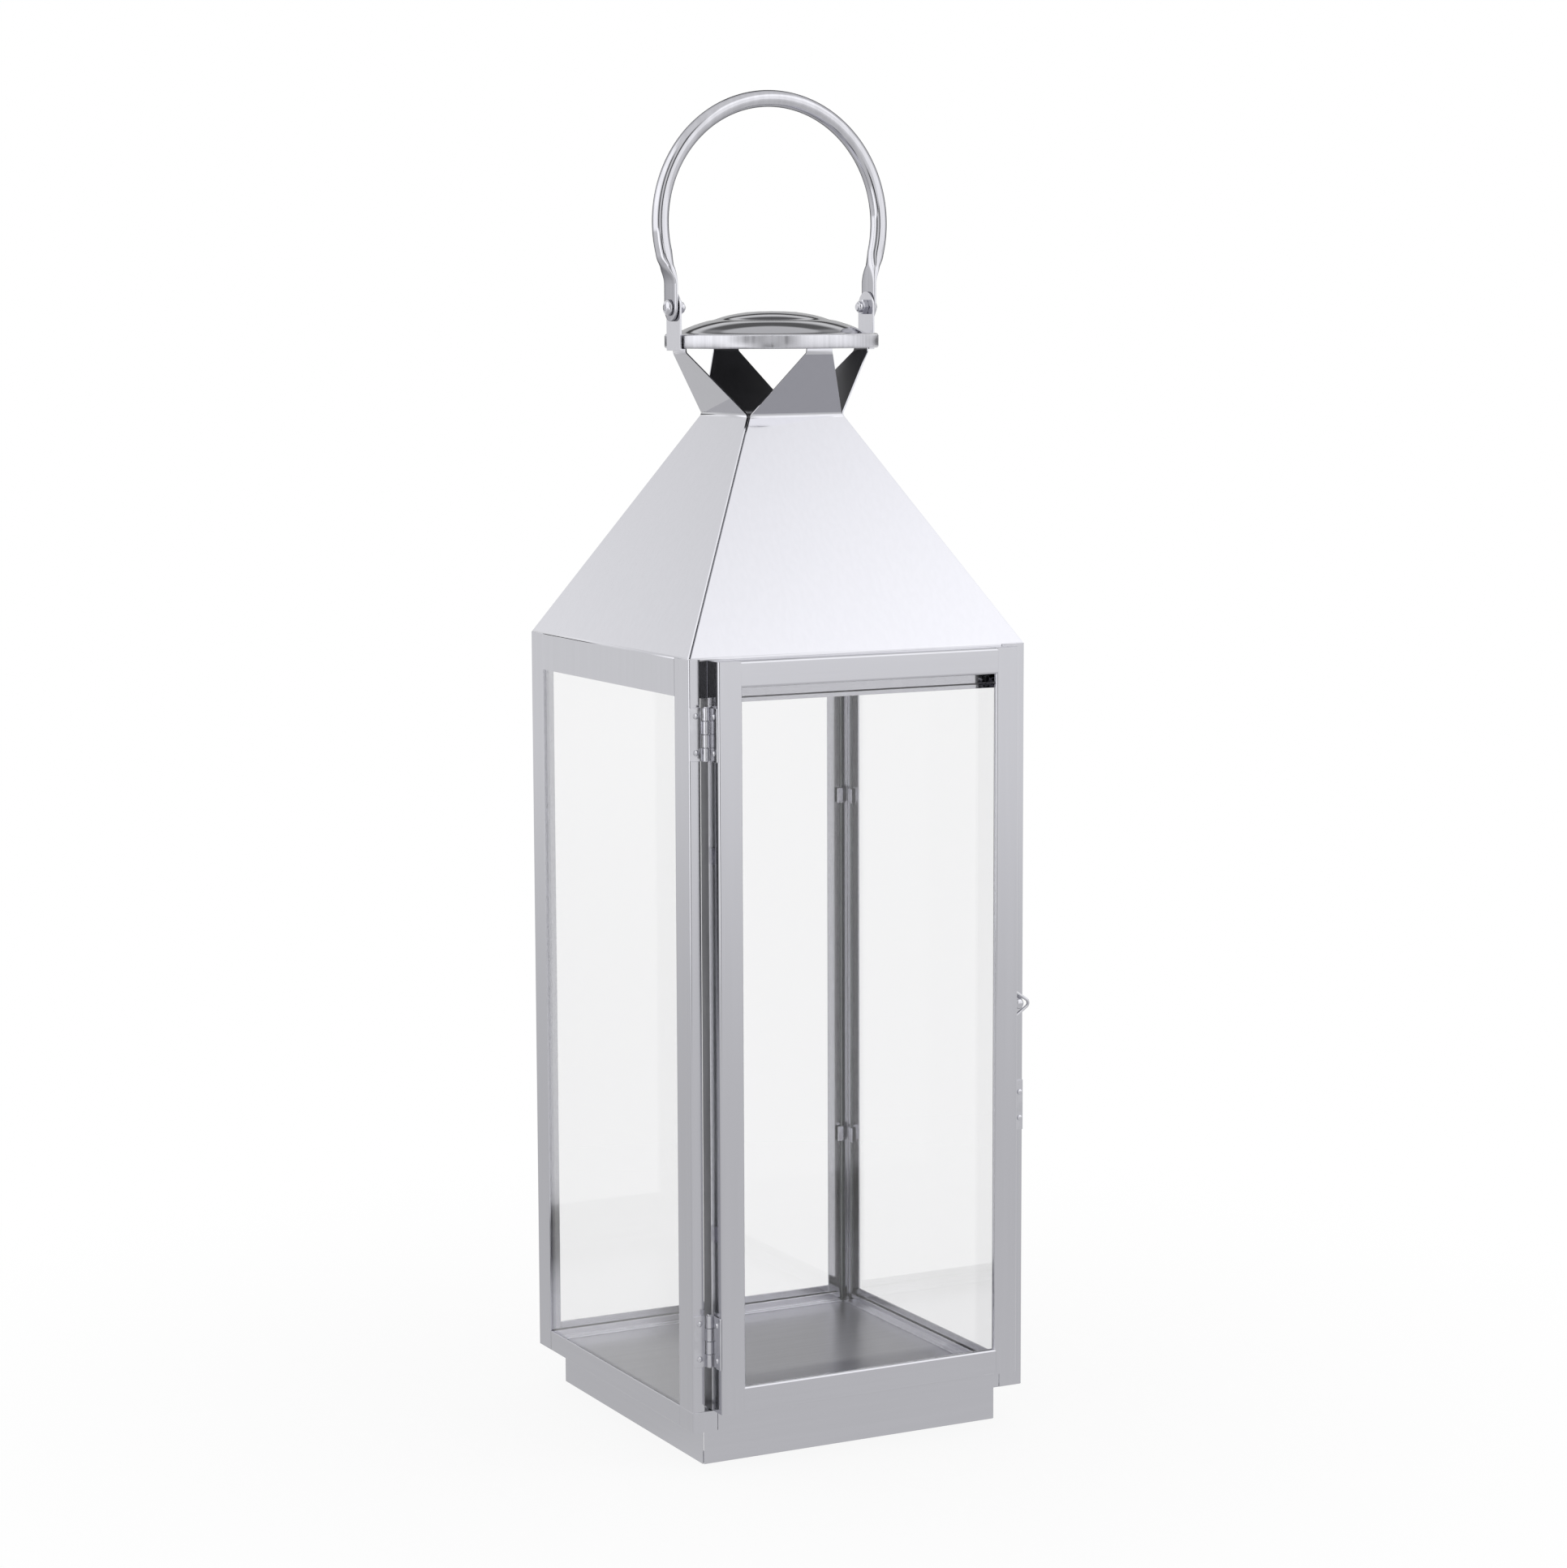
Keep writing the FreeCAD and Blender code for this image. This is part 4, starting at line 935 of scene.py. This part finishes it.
    def nut(self, shop: Workshop, side: str, place: Matrix, stands_for: Sequence[str]) -> None:
        """Make one hexagonal nut with chamfered corners and a locking collar.

        Args:
            shop: The workshop.
            side: The side's name.
            place: Placement along the screw.
            stands_for: The solids that it replaces.
        """
        angles = around(self.nut_points)
        sixth = math.pi / 3.0
        outline = [self.nut_half / math.cos((angle + sixth / 2.0) % sixth - sixth / 2.0) for angle in angles]
        face = self.nut_half * self.nut_face
        drops = [(radius - face) * self.nut_slope for radius in outline]
        plain = [(self.bore, self.nut_out), (face, self.nut_out), (face, self.nut_in)]
        plain += [*in_metres(self.collar, self.collar_in), (self.bore, self.collar_in)]
        rings = [[point] * self.nut_points for point in plain]
        rings[2:2] = [
            [(radius, self.nut_out - drop) for radius, drop in zip(outline, drops)],
            [(radius, self.nut_in + drop) for radius, drop in zip(outline, drops)],
        ]
        rows = [
            [place @ Vector((r * math.cos(a), r * math.sin(a), h)) for a, (r, h) in zip(angles, ring)]
            for ring in rings
        ]
        made = bmesh.new()
        join(made, rows, loop=True)
        name = f"lock_nut_{side}"
        shop.piece(name, made, Finish.BRIGHT_PLATE, "frame", Slot.HARDWARE, stands_for, sharp=25.0)

    def build_pivots(self, shop: Workshop) -> None:
        """Turn the pan-head screws and make the locking nuts.

        Args:
            shop: The workshop.
        """
        profile = in_metres(self.point, self.screw_tip) + in_metres(self.head, self.head_in)
        for side, axis, sign in (("right", Axis.RIGHT, 1), ("left", Axis.LEFT, -1)):
            place = axis.at(z=self.pivot)
            made = bmesh.new()
            lathe(made, profile, place, steps=40)
            first = sign == 1
            name = f"pan_screw_{side}"
            stands_for = ["handle_screws"] if first else []
            screw = shop.piece(name, made, Finish.BRIGHT_PLATE, "frame", Slot.HARDWARE, stands_for)
            self.recess(shop, screw, sign)
            self.nut(shop, side, place, ["handle_nuts"] if first else [])

    def build(self, shop: Workshop) -> None:
        """Make the handle and its pivots."""
        self.build_tube(shop)
        self.build_pivots(shop)


@dataclass
class Glazing:
    """Fixed panes and the door's pane, with the beads at the fixed panes' feet and their clips."""

    edge: float = 0.15 * MM
    arris: float = 0.25 * MM
    clear: float = 0.1 * MM
    flat: float = 0.99
    panes: tuple[str, ...] = ("pane_left", "pane_right", "pane_back", "door_pane")

    def build(self, shop: Workshop) -> None:
        """Cut the panes: clear faces, a little clear of the metal, with ground edges.

        Args:
            shop: The workshop.
        """
        for node in self.panes:
            low, high = (Vector(corner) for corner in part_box(node))
            thin = min(range(3), key=lambda index: high[index] - low[index])
            low[thin] += self.clear
            high[thin] -= self.clear
            made = bmesh.new()
            block(made, tuple(low), tuple(high))
            edges = list(made.edges)
            bmesh.ops.bevel(made, geom=edges, offset=self.arris, segments=1, affect="EDGES", profile=0.5)
            made.normal_update()
            for face in made.faces:
                face.material_index = 0 if abs(face.normal[thin]) > self.flat else 1
            body = "door" if node == "door_pane" else "frame"
            name, edging = f"clear_{node}", (Finish.GLASS_EDGE,)
            shop.piece(name, made, Finish.GLASS, body, Slot.GLASS, [node], sharp=20.0, others=edging)

    def dress(self, shop: Workshop) -> None:
        """Finish the glazing's solids.

        Args:
            shop: The workshop.
        """
        for side in ("left", "right", "back"):
            shop.dress(f"glass_bead_{side}", along_side(side), self.edge)
        shop.dress("glass_clips", Finish.BRIGHT_PLATE, self.edge)


@dataclass
class Door:
    """Folded stiles and rails, and the back frame."""

    half: float = 80.2 * MM
    inner: float = 67.7 * MM
    front: float = -101.3 * MM
    back: float = -90.3 * MM
    low: float = 29.4 * MM
    top: float = 384.4 * MM
    face: float = 12.5 * MM
    hem: float = 2.2 * MM
    sheet: float = 0.8 * MM
    fold: float = 1.2 * MM
    edge: float = 0.12 * MM
    end_inset: float = 0.48 * MM
    rail_overlap: float = 0.9 * MM
    back_right: float = 76.4 * MM
    back_top: float = 366.4 * MM
    back_lip: float = 2.0 * MM
    hinge_depth: float = 8.0 * MM
    latch_depth: float = 5.6 * MM

    def build_stiles(self, shop: Workshop) -> None:
        """Fold the stiles and close their ends.

        Args:
            shop: The workshop.
        """
        line = [(self.inner, self.front + self.hem), (self.inner, self.front)]
        line += [(self.half, self.front), (self.half, self.back)]
        inset = self.end_inset
        for name, sign in (("hinge", -1), ("latch", 1)):
            outline = [(sign * x, y) for x, y in folded(line, self.fold, self.sheet)]
            made = bmesh.new()
            skin(made, raised(outline, self.low, self.top))
            across = sorted((sign * (self.inner + inset), sign * (self.half - inset)))
            for low in (self.low, self.top - self.sheet):
                block(made, (across[0], self.front + inset, low), (across[1], self.back, low + self.sheet))
            shop.folded_piece(f"door_stile_{name}", made, Finish.UPRIGHT_SHEET, "door", self.edge)

    def build_rails(self, shop: Workshop) -> None:
        """Fold the rails, which run a little way into the stiles.

        Args:
            shop: The workshop.
        """
        end = self.inner + self.rail_overlap
        hem = self.front + self.hem
        top_in, low_in = self.top - self.face, self.low + self.face
        lines = {
            "top": [(self.back, self.top), (self.front, self.top), (self.front, top_in), (hem, top_in)],
            "bottom": [(hem, low_in), (self.front, low_in), (self.front, self.low), (self.back, self.low)],
        }
        for name, line in lines.items():
            outline = folded(line, self.fold, self.sheet)
            made = bmesh.new()
            skin(made, [[Vector((x, y, z)) for y, z in outline] for x in (-end, end)])
            shop.folded_piece(f"door_rail_{name}", made, Finish.CROSS_SHEET, "door", self.edge)

    def build_back_frame(self, shop: Workshop) -> None:
        """Fold the frame behind the pane: a lip that holds the glass and a wall round it.

        Args:
            shop: The workshop.
        """
        lip = [(0.0, 0.0), (self.back_lip, 0.0), (self.back_lip, self.sheet), (self.sheet, self.sheet)]
        corners = [(-self.half, self.low, 1, 1), (self.back_right, self.low, -1, 1)]
        corners += [(self.back_right, self.back_top, -1, -1), (-self.half, self.back_top, 1, -1)]
        rows = []
        for x, z, along, up in corners:
            depth = self.hinge_depth if along == 1 else self.latch_depth
            section = [*lip, (self.sheet, depth), (0.0, depth)]
            rows.append(
                [Vector((x + along * inset, self.back + deep, z + up * inset)) for inset, deep in section]
            )
        made = bmesh.new()
        join(made, rows, loop=True)
        shop.folded_piece("door_back_frame", made, Finish.DOOR_BACK, "door", self.edge)

    def build(self, shop: Workshop) -> None:
        """Make the stiles, the rails and the back frame.

        Args:
            shop: The workshop.
        """
        self.build_stiles(shop)
        self.build_rails(shop)
        self.build_back_frame(shop)


@dataclass
class Hardware:
    """Hinges, rivets, strike plate and latch."""

    edge: float = 0.15 * MM
    hinge_x: float = -82.1 * MM
    hinge_y: float = -91.9 * MM
    hinge_low: tuple[tuple[str, float], ...] = (("lower", 50.9 * MM), ("upper", 337.9 * MM))
    hinge_height: float = 25.0 * MM
    knuckle: float = 1.6 * MM
    knuckle_gap: float = 0.2 * MM
    knuckle_lip: float = 0.15 * MM
    knuckle_bore: float = 0.85 * MM
    leaf_corner: float = 0.4 * MM
    leaf_edge: float = 0.1 * MM
    leaf: float = 0.8 * MM
    leaf_back: float = 1.9 * MM
    leaf_near: float = 1.8 * MM
    leaf_overlap: float = 0.3 * MM
    post_leaf: float = 7.4 * MM
    door_leaf: float = 8.8 * MM
    pin_over: float = 0.2 * MM
    # Radius and height over the pin's end, in millimetres
    pin_end: tuple[Flat, ...] = ((0.0, -0.4), (0.7, -0.38), (1.1, -0.2), (1.2, 0.05), (0.75, 0.1))
    rivet_head: float = 1.4 * MM
    rivet_rise: float = 0.6 * MM
    rivet_shank: float = 0.8 * MM
    rivet_tail: float = 1.9 * MM
    rivet_dome: tuple[float, ...] = radians(0, 20, 40, 58, 74)
    rivet_foot: float = 0.2
    rivet_power: float = 0.8
    post_rivet: Flat = (-86.7 * MM, -90.8 * MM)
    door_rivet: Flat = (-81.0 * MM, -97.3 * MM)
    strike_rivet: Flat = (87.6 * MM, -90.8 * MM)
    rivet_levels: tuple[float, ...] = (54.9 * MM, 71.9 * MM, 341.9 * MM, 358.9 * MM)
    strike_levels: tuple[float, ...] = (152.9 * MM, 165.7 * MM)
    latch: Place = (82.1 * MM, -93.5 * MM, 210.0 * MM)
    wire: float = 0.75 * MM
    wire_points: int = 16
    bail_reach: float = 8.4 * MM
    bail_bend: float = 2.1 * MM
    bail_leg: float = 6.9 * MM
    bail_end: float = 12.2 * MM
    knee: float = 1.6 * MM
    knee_steps: int = 8
    bend_steps: int = 12
    stud_place: Place = (85.3 * MM, -90.0 * MM, 210.0 * MM)
    # Radius and height over the post, in millimetres
    stud: tuple[Flat, ...] = (
        (0.0, -1.1), (1.2, -1.1), (1.2, 0.0), (2.0, 0.0), (2.0, 0.3), (1.5, 0.8), (1.5, 2.6), (2.0, 3.1),
        (2.4, 3.4), (2.5, 3.75), (2.4, 4.1), (2.05, 4.5), (1.4, 4.82), (0.7, 4.97), (0.0, 5.0),
    )

    def leaf_box(self, owner: str, away: Flat, across: Flat, heights: Flat) -> tuple[Place, Place]:
        """Corners of a box on a hinge's leaf.

        Args:
            owner: The leaf's piece, post or door.
            away: Where it starts and ends along the leaf, from the pin.
            across: Where it starts and ends through the leaf, from the pin.
            heights: Where it starts and ends in height.

        Returns:
            Its lowest and highest corners.
        """
        x, y = (away, across) if owner == "post" else (across, away)
        low, high = ((self.hinge_x + x[end], self.hinge_y + y[end], heights[end]) for end in (0, 1))
        return low, high

    def build_leaf(self, shop: Workshop, level: str, low: float, owner: str, turns: Sequence[int]) -> None:
        """Make one leaf of a hinge with its rolled knuckles.

        Args:
            shop: The workshop.
            level: The hinge's name.
            low: Height of its foot.
            owner: The leaf's piece, post or door.
            turns: The quarters of the hinge's height in which it has knuckles.
        """
        pitch = self.hinge_height / 4.0
        length = pitch - self.knuckle_gap
        face = self.leaf_back - self.leaf
        on_post = owner == "post"
        width = self.post_leaf if on_post else self.door_leaf
        heights = (low, low + self.hinge_height)
        flat = self.leaf_box(owner, (-width, -self.leaf_near), (face, self.leaf_back), heights)
        made = bmesh.new()
        block(made, *flat)
        thin = 1 if on_post else 0
        ends = [[vertex.co[thin] for vertex in edge.verts] for edge in made.edges]
        corners = [edge for edge, (one, two) in zip(made.edges, ends) if abs(one - two) > self.leaf / 2.0]
        bmesh.ops.bevel(made, geom=corners, offset=self.leaf_corner, segments=4, affect="EDGES", profile=0.5)
        rolled, lip = self.knuckle, self.knuckle_lip
        profile = [(self.knuckle_bore, 0.0), (rolled - lip, 0.0), (rolled, lip), (rolled, length - lip)]
        profile += [(rolled - lip, length), (self.knuckle_bore, length)]
        for turn in turns:
            start = low + turn * pitch + self.knuckle_gap / 2.0
            lathe(made, profile, Axis.UP.at(self.hinge_x, self.hinge_y, start), steps=28, loop=True)
            neck = (-self.leaf_near - self.leaf_overlap, 0.0)
            block(made, *self.leaf_box(owner, neck, (face, rolled), (start, start + length)))
        node = f"hinge_{level}_{owner}_leaf"
        body = "frame" if on_post else "door"
        name, finish = f"rolled_{node}", Finish.BRIGHT_PLATE
        piece = shop.piece(name, made, finish, body, Slot.HARDWARE, [node], sharp=35.0)
        shop.soften(piece, self.leaf_edge, angle=60.0)

    def build_hinges(self, shop: Workshop) -> None:
        """Make the butt hinges: two leaves each and a pin with domed ends.

        Args:
            shop: The workshop.
        """
        end = in_metres(self.pin_end)
        total = self.hinge_height + self.pin_over
        profile = end + [(radius, total - height) for radius, height in reversed(end)]
        for level, low in self.hinge_low:
            self.build_leaf(shop, level, low, "post", (0, 2))
            self.build_leaf(shop, level, low, "door", (1, 3))
            made = bmesh.new()
            lathe(made, profile, Axis.UP.at(self.hinge_x, self.hinge_y, low), steps=24)
            node = f"hinge_{level}_pin"
            shop.piece(f"domed_{node}", made, Finish.BRIGHT_PLATE, "frame", Slot.HARDWARE, [node])

    def build_rivets(self, shop: Workshop) -> None:
        """Make the domed rivets of the hinges and the strike plate.

        Args:
            shop: The workshop.
        """
        profile = [(0.0, -self.rivet_tail), (self.rivet_shank, -self.rivet_tail)]
        profile += [(self.rivet_shank, 0.0), (self.rivet_head, 0.0)]
        for angle in self.rivet_dome:
            rise = self.rivet_foot + (1.0 - self.rivet_foot) * math.sin(angle)
            profile.append((self.rivet_head * math.cos(angle) ** self.rivet_power, self.rivet_rise * rise))
        profile.append((0.0, self.rivet_rise))
        groups = (
            ("post_rivets", "frame", Axis.FRONT, self.post_rivet, self.rivet_levels),
            ("door_rivets", "door", Axis.LEFT, self.door_rivet, self.rivet_levels),
            ("strike_rivets", "frame", Axis.FRONT, self.strike_rivet, self.strike_levels),
        )
        for node, body, axis, place, levels in groups:
            made = bmesh.new()
            for level in levels:
                lathe(made, profile, axis.at(*place, level), steps=24)
            shop.piece(f"domed_{node}", made, Finish.BRIGHT_PLATE, body, Slot.HARDWARE, [node])

    def bail_line(self) -> list[Vector]:
        """Middle line of the latch's wire, from its top end to its low end.

        Returns:
            Points out from the door's edge and up, with the knees and the bend rounded.
        """
        centre = Vector((self.bail_reach - self.bail_bend, 0.0))
        corner = Vector((0.0, self.bail_leg))
        away = centre - corner
        reach = math.sqrt(away.length_squared - self.bail_bend ** 2)
        toward = away.normalized()
        across = Vector((-toward.y, toward.x))
        touch = corner + (toward * reach + across * self.bail_bend) * (reach / away.length)
        start = math.atan2(touch.y - centre.y, touch.x - centre.x)
        first = corner + Vector((0.0, self.knee))
        last = corner + (touch - corner).normalized() * self.knee
        half = [Vector((0.0, self.bail_end))]
        for step in range(self.knee_steps + 1):
            share = step / self.knee_steps
            half.append(first.lerp(corner, share).lerp(corner.lerp(last, share), share))
        for step in range(self.bend_steps):
            angle = start * (1.0 - step / self.bend_steps)
            half.append(centre + Vector((math.cos(angle), math.sin(angle))) * self.bail_bend)
        apex = centre + Vector((self.bail_bend, 0.0))
        return [*half, apex, *(Vector((point.x, -point.y)) for point in reversed(half))]

    def build_latch(self, shop: Workshop) -> None:
        """Bend the latch's wire and turn its stud.

        Args:
            shop: The workshop.
        """
        line = self.bail_line()
        rings = []
        for before, point, after in zip([line[0], *line], line, [*line[1:], line[-1]]):
            run = (after - before).normalized()
            across = Vector((-run.y, 0.0, run.x))
            middle = Vector(self.latch) + Vector((point.x, 0.0, point.y))
            turns = [(math.cos(angle), math.sin(angle)) for angle in around(self.wire_points)]
            rings.append([middle + (across * c + Vector((0.0, s, 0.0))) * self.wire for c, s in turns])
        made = bmesh.new()
        skin(made, rings)
        finish = Finish.BRIGHT_PLATE
        shop.piece("bent_latch_bail", made, finish, "latch", Slot.HARDWARE, ["latch_bail"], sharp=50.0)
        made = bmesh.new()
        lathe(made, in_metres(self.stud), Axis.FRONT.at(*self.stud_place), steps=32)
        shop.piece("domed_latch_stud", made, finish, "frame", Slot.HARDWARE, ["latch_stud"])

    def build(self, shop: Workshop) -> None:
        """Make the hinges, rivets and latch.

        Args:
            shop: The workshop.
        """
        self.build_hinges(shop)
        self.build_rivets(shop)
        self.build_latch(shop)

    def dress(self, shop: Workshop) -> None:
        """Finish the hardware's solids."""
        for node in ("strike_plate", "latch_saddle"):
            shop.dress(node, Finish.BRIGHT_PLATE, self.edge)


# Studio

@dataclass(frozen=True)
class Viewpoint:
    """The photograph's camera: where it stands round the lantern, what it looks at and its lens."""

    azimuth: float = math.radians(-27.383)
    elevation: float = math.radians(7.183)
    roll: float = math.radians(-0.21)
    distance: float = 1.86588
    aim_right: float = 0.00504
    aim_height: float = 0.31223
    focal_pixels: float = 4661.9
    image_width: float = 1931.0
    sensor: float = 36.0

    def place(self) -> None:
        """Make the camera and set it as the scene's own."""
        swing, lift = self.azimuth, self.elevation
        flat = math.cos(lift)
        back = Vector((math.sin(swing) * flat, -math.cos(swing) * flat, math.sin(lift)))
        level = Vector((math.cos(swing), math.sin(swing), 0.0))
        above = back.cross(level)
        right = level * math.cos(self.roll) + above * math.sin(self.roll)
        up = above * math.cos(self.roll) - level * math.sin(self.roll)
        lens = bpy.data.cameras.new("viewpoint")
        lens.sensor_fit = "HORIZONTAL"
        lens.sensor_width = self.sensor
        lens.lens = self.focal_pixels / self.image_width * self.sensor
        camera = set_out("viewpoint", lens)
        camera.rotation_mode = "QUATERNION"
        camera.rotation_quaternion = Matrix((right, up, back)).transposed().to_quaternion()
        aim = level * self.aim_right + Vector((0.0, 0.0, self.aim_height))
        camera.location = aim + back * self.distance
        bpy.context.scene.camera = camera


@dataclass(frozen=True)
class Softbox:
    """A square soft light that faces the lantern."""

    name: str
    place: Place
    aim: Place
    side: float
    power: float
    mirrored: bool = True

    def light(self) -> None:
        """Make the light."""
        lamp = bpy.data.lights.new(self.name, "AREA")
        lamp.shape = "SQUARE"
        lamp.size = self.side
        lamp.energy = self.power
        holder = set_out(self.name, lamp)
        holder.location = self.place
        holder.rotation_mode = "QUATERNION"
        holder.rotation_quaternion = (Vector(self.aim) - Vector(self.place)).to_track_quat("-Z", "Y")
        holder.visible_glossy = self.mirrored


@dataclass(frozen=True)
class Panel:
    """A part of the room that polished metal shows: a bright screen, a grey wall or a dark gap.

    Angles are in degrees. The azimuth runs from +Y towards +X.
    """

    azimuth: float
    half_width: float
    low: float
    high: float
    soft: float
    strength: float
    soft_side: float = 4.0

    def over(self, nodes: Shader, aim: Node, lift: NodeSocket, under: object) -> NodeSocket:
        """Lay the panel over what is behind it.

        Args:
            nodes: The world's tree.
            aim: Node with the parts of the ray's direction.
            lift: The ray's elevation in radians.
            under: Strength behind the panel.

        Returns:
            The strength with the panel in front.
        """
        side = radians(self.half_width - self.soft_side, self.half_width + self.soft_side)
        foot = radians(self.low - self.soft, self.low + self.soft)
        head = radians(self.high - self.soft, self.high + self.soft)
        within = nodes.remap(nodes.off_azimuth(aim, self.azimuth), side, FALLING)
        between = nodes.times(nodes.remap(lift, foot), nodes.remap(lift, head, FALLING))
        change = nodes.times(nodes.times(within, between), nodes.math("SUBTRACT", self.strength, under))
        return nodes.math("ADD", under, change)


@dataclass(frozen=True)
class Studio:
    """White surroundings, a pale floor and soft lights."""

    room_light: float = 0.75
    floor_colour: Colour = (0.86, 0.86, 0.865)
    floor_reach: float = 8.0
    floor_drop: float = 0.3 * MM
    shadow_reach: Flat = (0.0, 0.6)
    shadow_share: Flat = (0.88, 1.0)
    # How polished metal sees the floor: darker near the lantern by distance as painted shadow, less bright
    # behind, and dark where the camera stands
    mirrored_reach: Flat = (0.5, 3.2)
    mirrored: Flat = (0.8, 1.06)
    behind_skew: float = 0.5
    behind_span: Flat = (-0.6, 0.6)
    behind: Flat = (1.0, 0.89)
    eye_azimuth: float = -152.6
    eye_width: tuple[float, ...] = radians(6.0, 10.0)
    eye_reach: Flat = (1.0, 1.6)
    eye_dark: Flat = (0.0, 0.95)
    softboxes: tuple[Softbox, ...] = (
        Softbox("key", (1.0, -1.24, 2.0), (0.0, -0.06, 0.44), side=1.3, power=8.0, mirrored=False),
        Softbox("low_left", (-1.15, -0.6, 0.28), (0.0, 0.0, 0.2), side=0.5, power=0.7),
    )
    # Azimuth, half width, low edge, high edge, softness and strength of each, the later ones in front
    panels: tuple[Panel, ...] = (
        Panel(140.0, 34.0, 24.0, 49.5, 6.0, 1.75),
        Panel(165.0, 24.0, -8.0, 26.0, 4.0, 1.45),
        Panel(123.0, 18.0, -8.0, 24.0, 4.0, 1.5),
        Panel(-77.0, 35.0, -8.0, 50.0, 5.0, 1.7),
        Panel(-17.0, 12.0, 4.0, 19.5, 5.0, 1.25),
        Panel(27.0, 15.0, -8.0, 62.0, 2.0, 0.52),
        Panel(27.0, 15.0, 42.0, 62.0, 1.5, 0.7),
        Panel(27.0, 15.0, 31.0, 42.0, 2.0, 0.14),
        Panel(27.0, 15.0, 23.5, 29.0, 1.5, 0.8),
        Panel(27.0, 15.0, 18.0, 23.0, 1.2, 0.07),
        Panel(27.0, 42.0, -8.0, 4.0, 1.2, 0.06),
        Panel(-132.0, 8.0, -8.0, 40.0, 4.0, 0.16, 3.0),
        Panel(-170.0, 8.0, -8.0, 40.0, 4.0, 0.16, 3.0),
    )

    def surround(self) -> None:
        """White all round to the eye, with the room's panels in mirrors, and a plain even light."""
        world = bpy.data.worlds.new("white_room")
        bpy.context.scene.world = world
        nodes = Shader(world)
        path = nodes.add("LightPath")
        aim = nodes.add("SeparateXYZ", Vector=nodes.add("TexCoord").outputs["Generated"])
        lift = nodes.math("ARCSINE", aim.outputs["Z"])
        strength: object = 1.0
        for panel in self.panels:
            strength = panel.over(nodes, aim, lift, strength)
        glossy = path.outputs["Is Glossy Ray"]
        mirror = nodes.times(glossy, nodes.math("SUBTRACT", strength, 1.0))
        direct = nodes.math("MAXIMUM", path.outputs["Is Camera Ray"], glossy)
        seen = nodes.math("MAXIMUM", direct, path.outputs["Is Transmission Ray"])
        light = nodes.add("Background", Color=WHITE, Strength=self.room_light)
        white = nodes.add("Background", Color=WHITE, Strength=nodes.math("ADD", mirror, 1.0))
        nodes.add("OutputWorld", Surface=nodes.blend(seen, light, white).outputs[0])

    def mirror_strength(self, nodes: Shader, place: NodeSocket, away: NodeSocket) -> NodeSocket:
        """How bright polished metal sees the floor: darker near the lantern as painted shadow, paler further
        off, and dark where the camera stands.

        Args:
            nodes: The floor's tree.
            place: The point on the floor.
            away: Its distance from the lantern.

        Returns:
            The strength.
        """
        parts = nodes.add("SeparateXYZ", Vector=place)
        skewed = nodes.times(parts.outputs["X"], self.behind_skew)
        behind = nodes.math("DIVIDE", nodes.math("SUBTRACT", parts.outputs["Y"], skewed), away)
        # Painted shadow: the floor that metal shows is darker near the lantern.
        level = nodes.remap(away, self.mirrored_reach, self.mirrored)
        level = nodes.times(level, nodes.remap(behind, self.behind_span, self.behind))
        near_eye = nodes.remap(nodes.off_azimuth(parts, self.eye_azimuth), self.eye_width, FALLING)
        dark = nodes.times(near_eye, nodes.remap(away, self.eye_reach, self.eye_dark))
        return nodes.times(level, nodes.math("SUBTRACT", 1.0, dark))

    def lay_floor(self) -> None:
        """Pale floor that takes the shadow near the lantern and turns white further off."""
        mesh = bpy.data.meshes.new("studio_floor")
        reach = self.floor_reach
        corners = [(-reach, -reach, 0), (reach, -reach, 0), (reach, reach, 0), (-reach, reach, 0)]
        mesh.from_pydata(corners, [], [(0, 1, 2, 3)])
        floor = set_out("studio_floor", mesh)
        floor.location.z = -self.floor_drop
        material = bpy.data.materials.new("pale_floor")
        nodes = Shader(material)
        path = nodes.add("LightPath")
        place = nodes.add("NewGeometry").outputs["Position"]
        away = nodes.add("VectorMath", {"operation": "LENGTH"}, place).outputs["Value"]
        direct = nodes.math("MAXIMUM", path.outputs["Is Camera Ray"], path.outputs["Is Transmission Ray"])
        to_eye = nodes.times(direct, nodes.remap(away, self.shadow_reach, self.shadow_share))
        mirrored = nodes.times(path.outputs["Is Glossy Ray"], nodes.math("SUBTRACT", 1.0, direct))
        paint = nodes.add("BsdfDiffuse", Color=self.floor_colour)
        white = nodes.add("Emission", Color=WHITE, Strength=1.0)
        shown = nodes.add("Emission", Color=WHITE, Strength=self.mirror_strength(nodes, place, away))
        whole = nodes.blend(mirrored, nodes.blend(to_eye, paint, white), shown)
        nodes.add("OutputMaterial", Surface=whole.outputs[0])
        mesh.materials.append(material)

    def build(self) -> None:
        """Make the surroundings, the floor and the lights."""
        self.surround()
        self.lay_floor()
        for softbox in self.softboxes:
            softbox.light()


def main() -> None:
    """Build the studio, then each sub-assembly in order."""
    logging.basicConfig(level=logging.INFO, format="%(name)s: %(message)s")
    bpy.context.scene.view_settings.view_transform = "Standard"
    Viewpoint().place()
    Studio().build()
    shop = Workshop()
    for assembly in (Posts(), Roof(), Handle(), Glazing(), Door(), Hardware()):
        assembly.build(shop)
    for assembly in (Base(), Roof(), Glazing(), Hardware()):
        assembly.dress(shop)


if __name__ == "__main__":
    main()
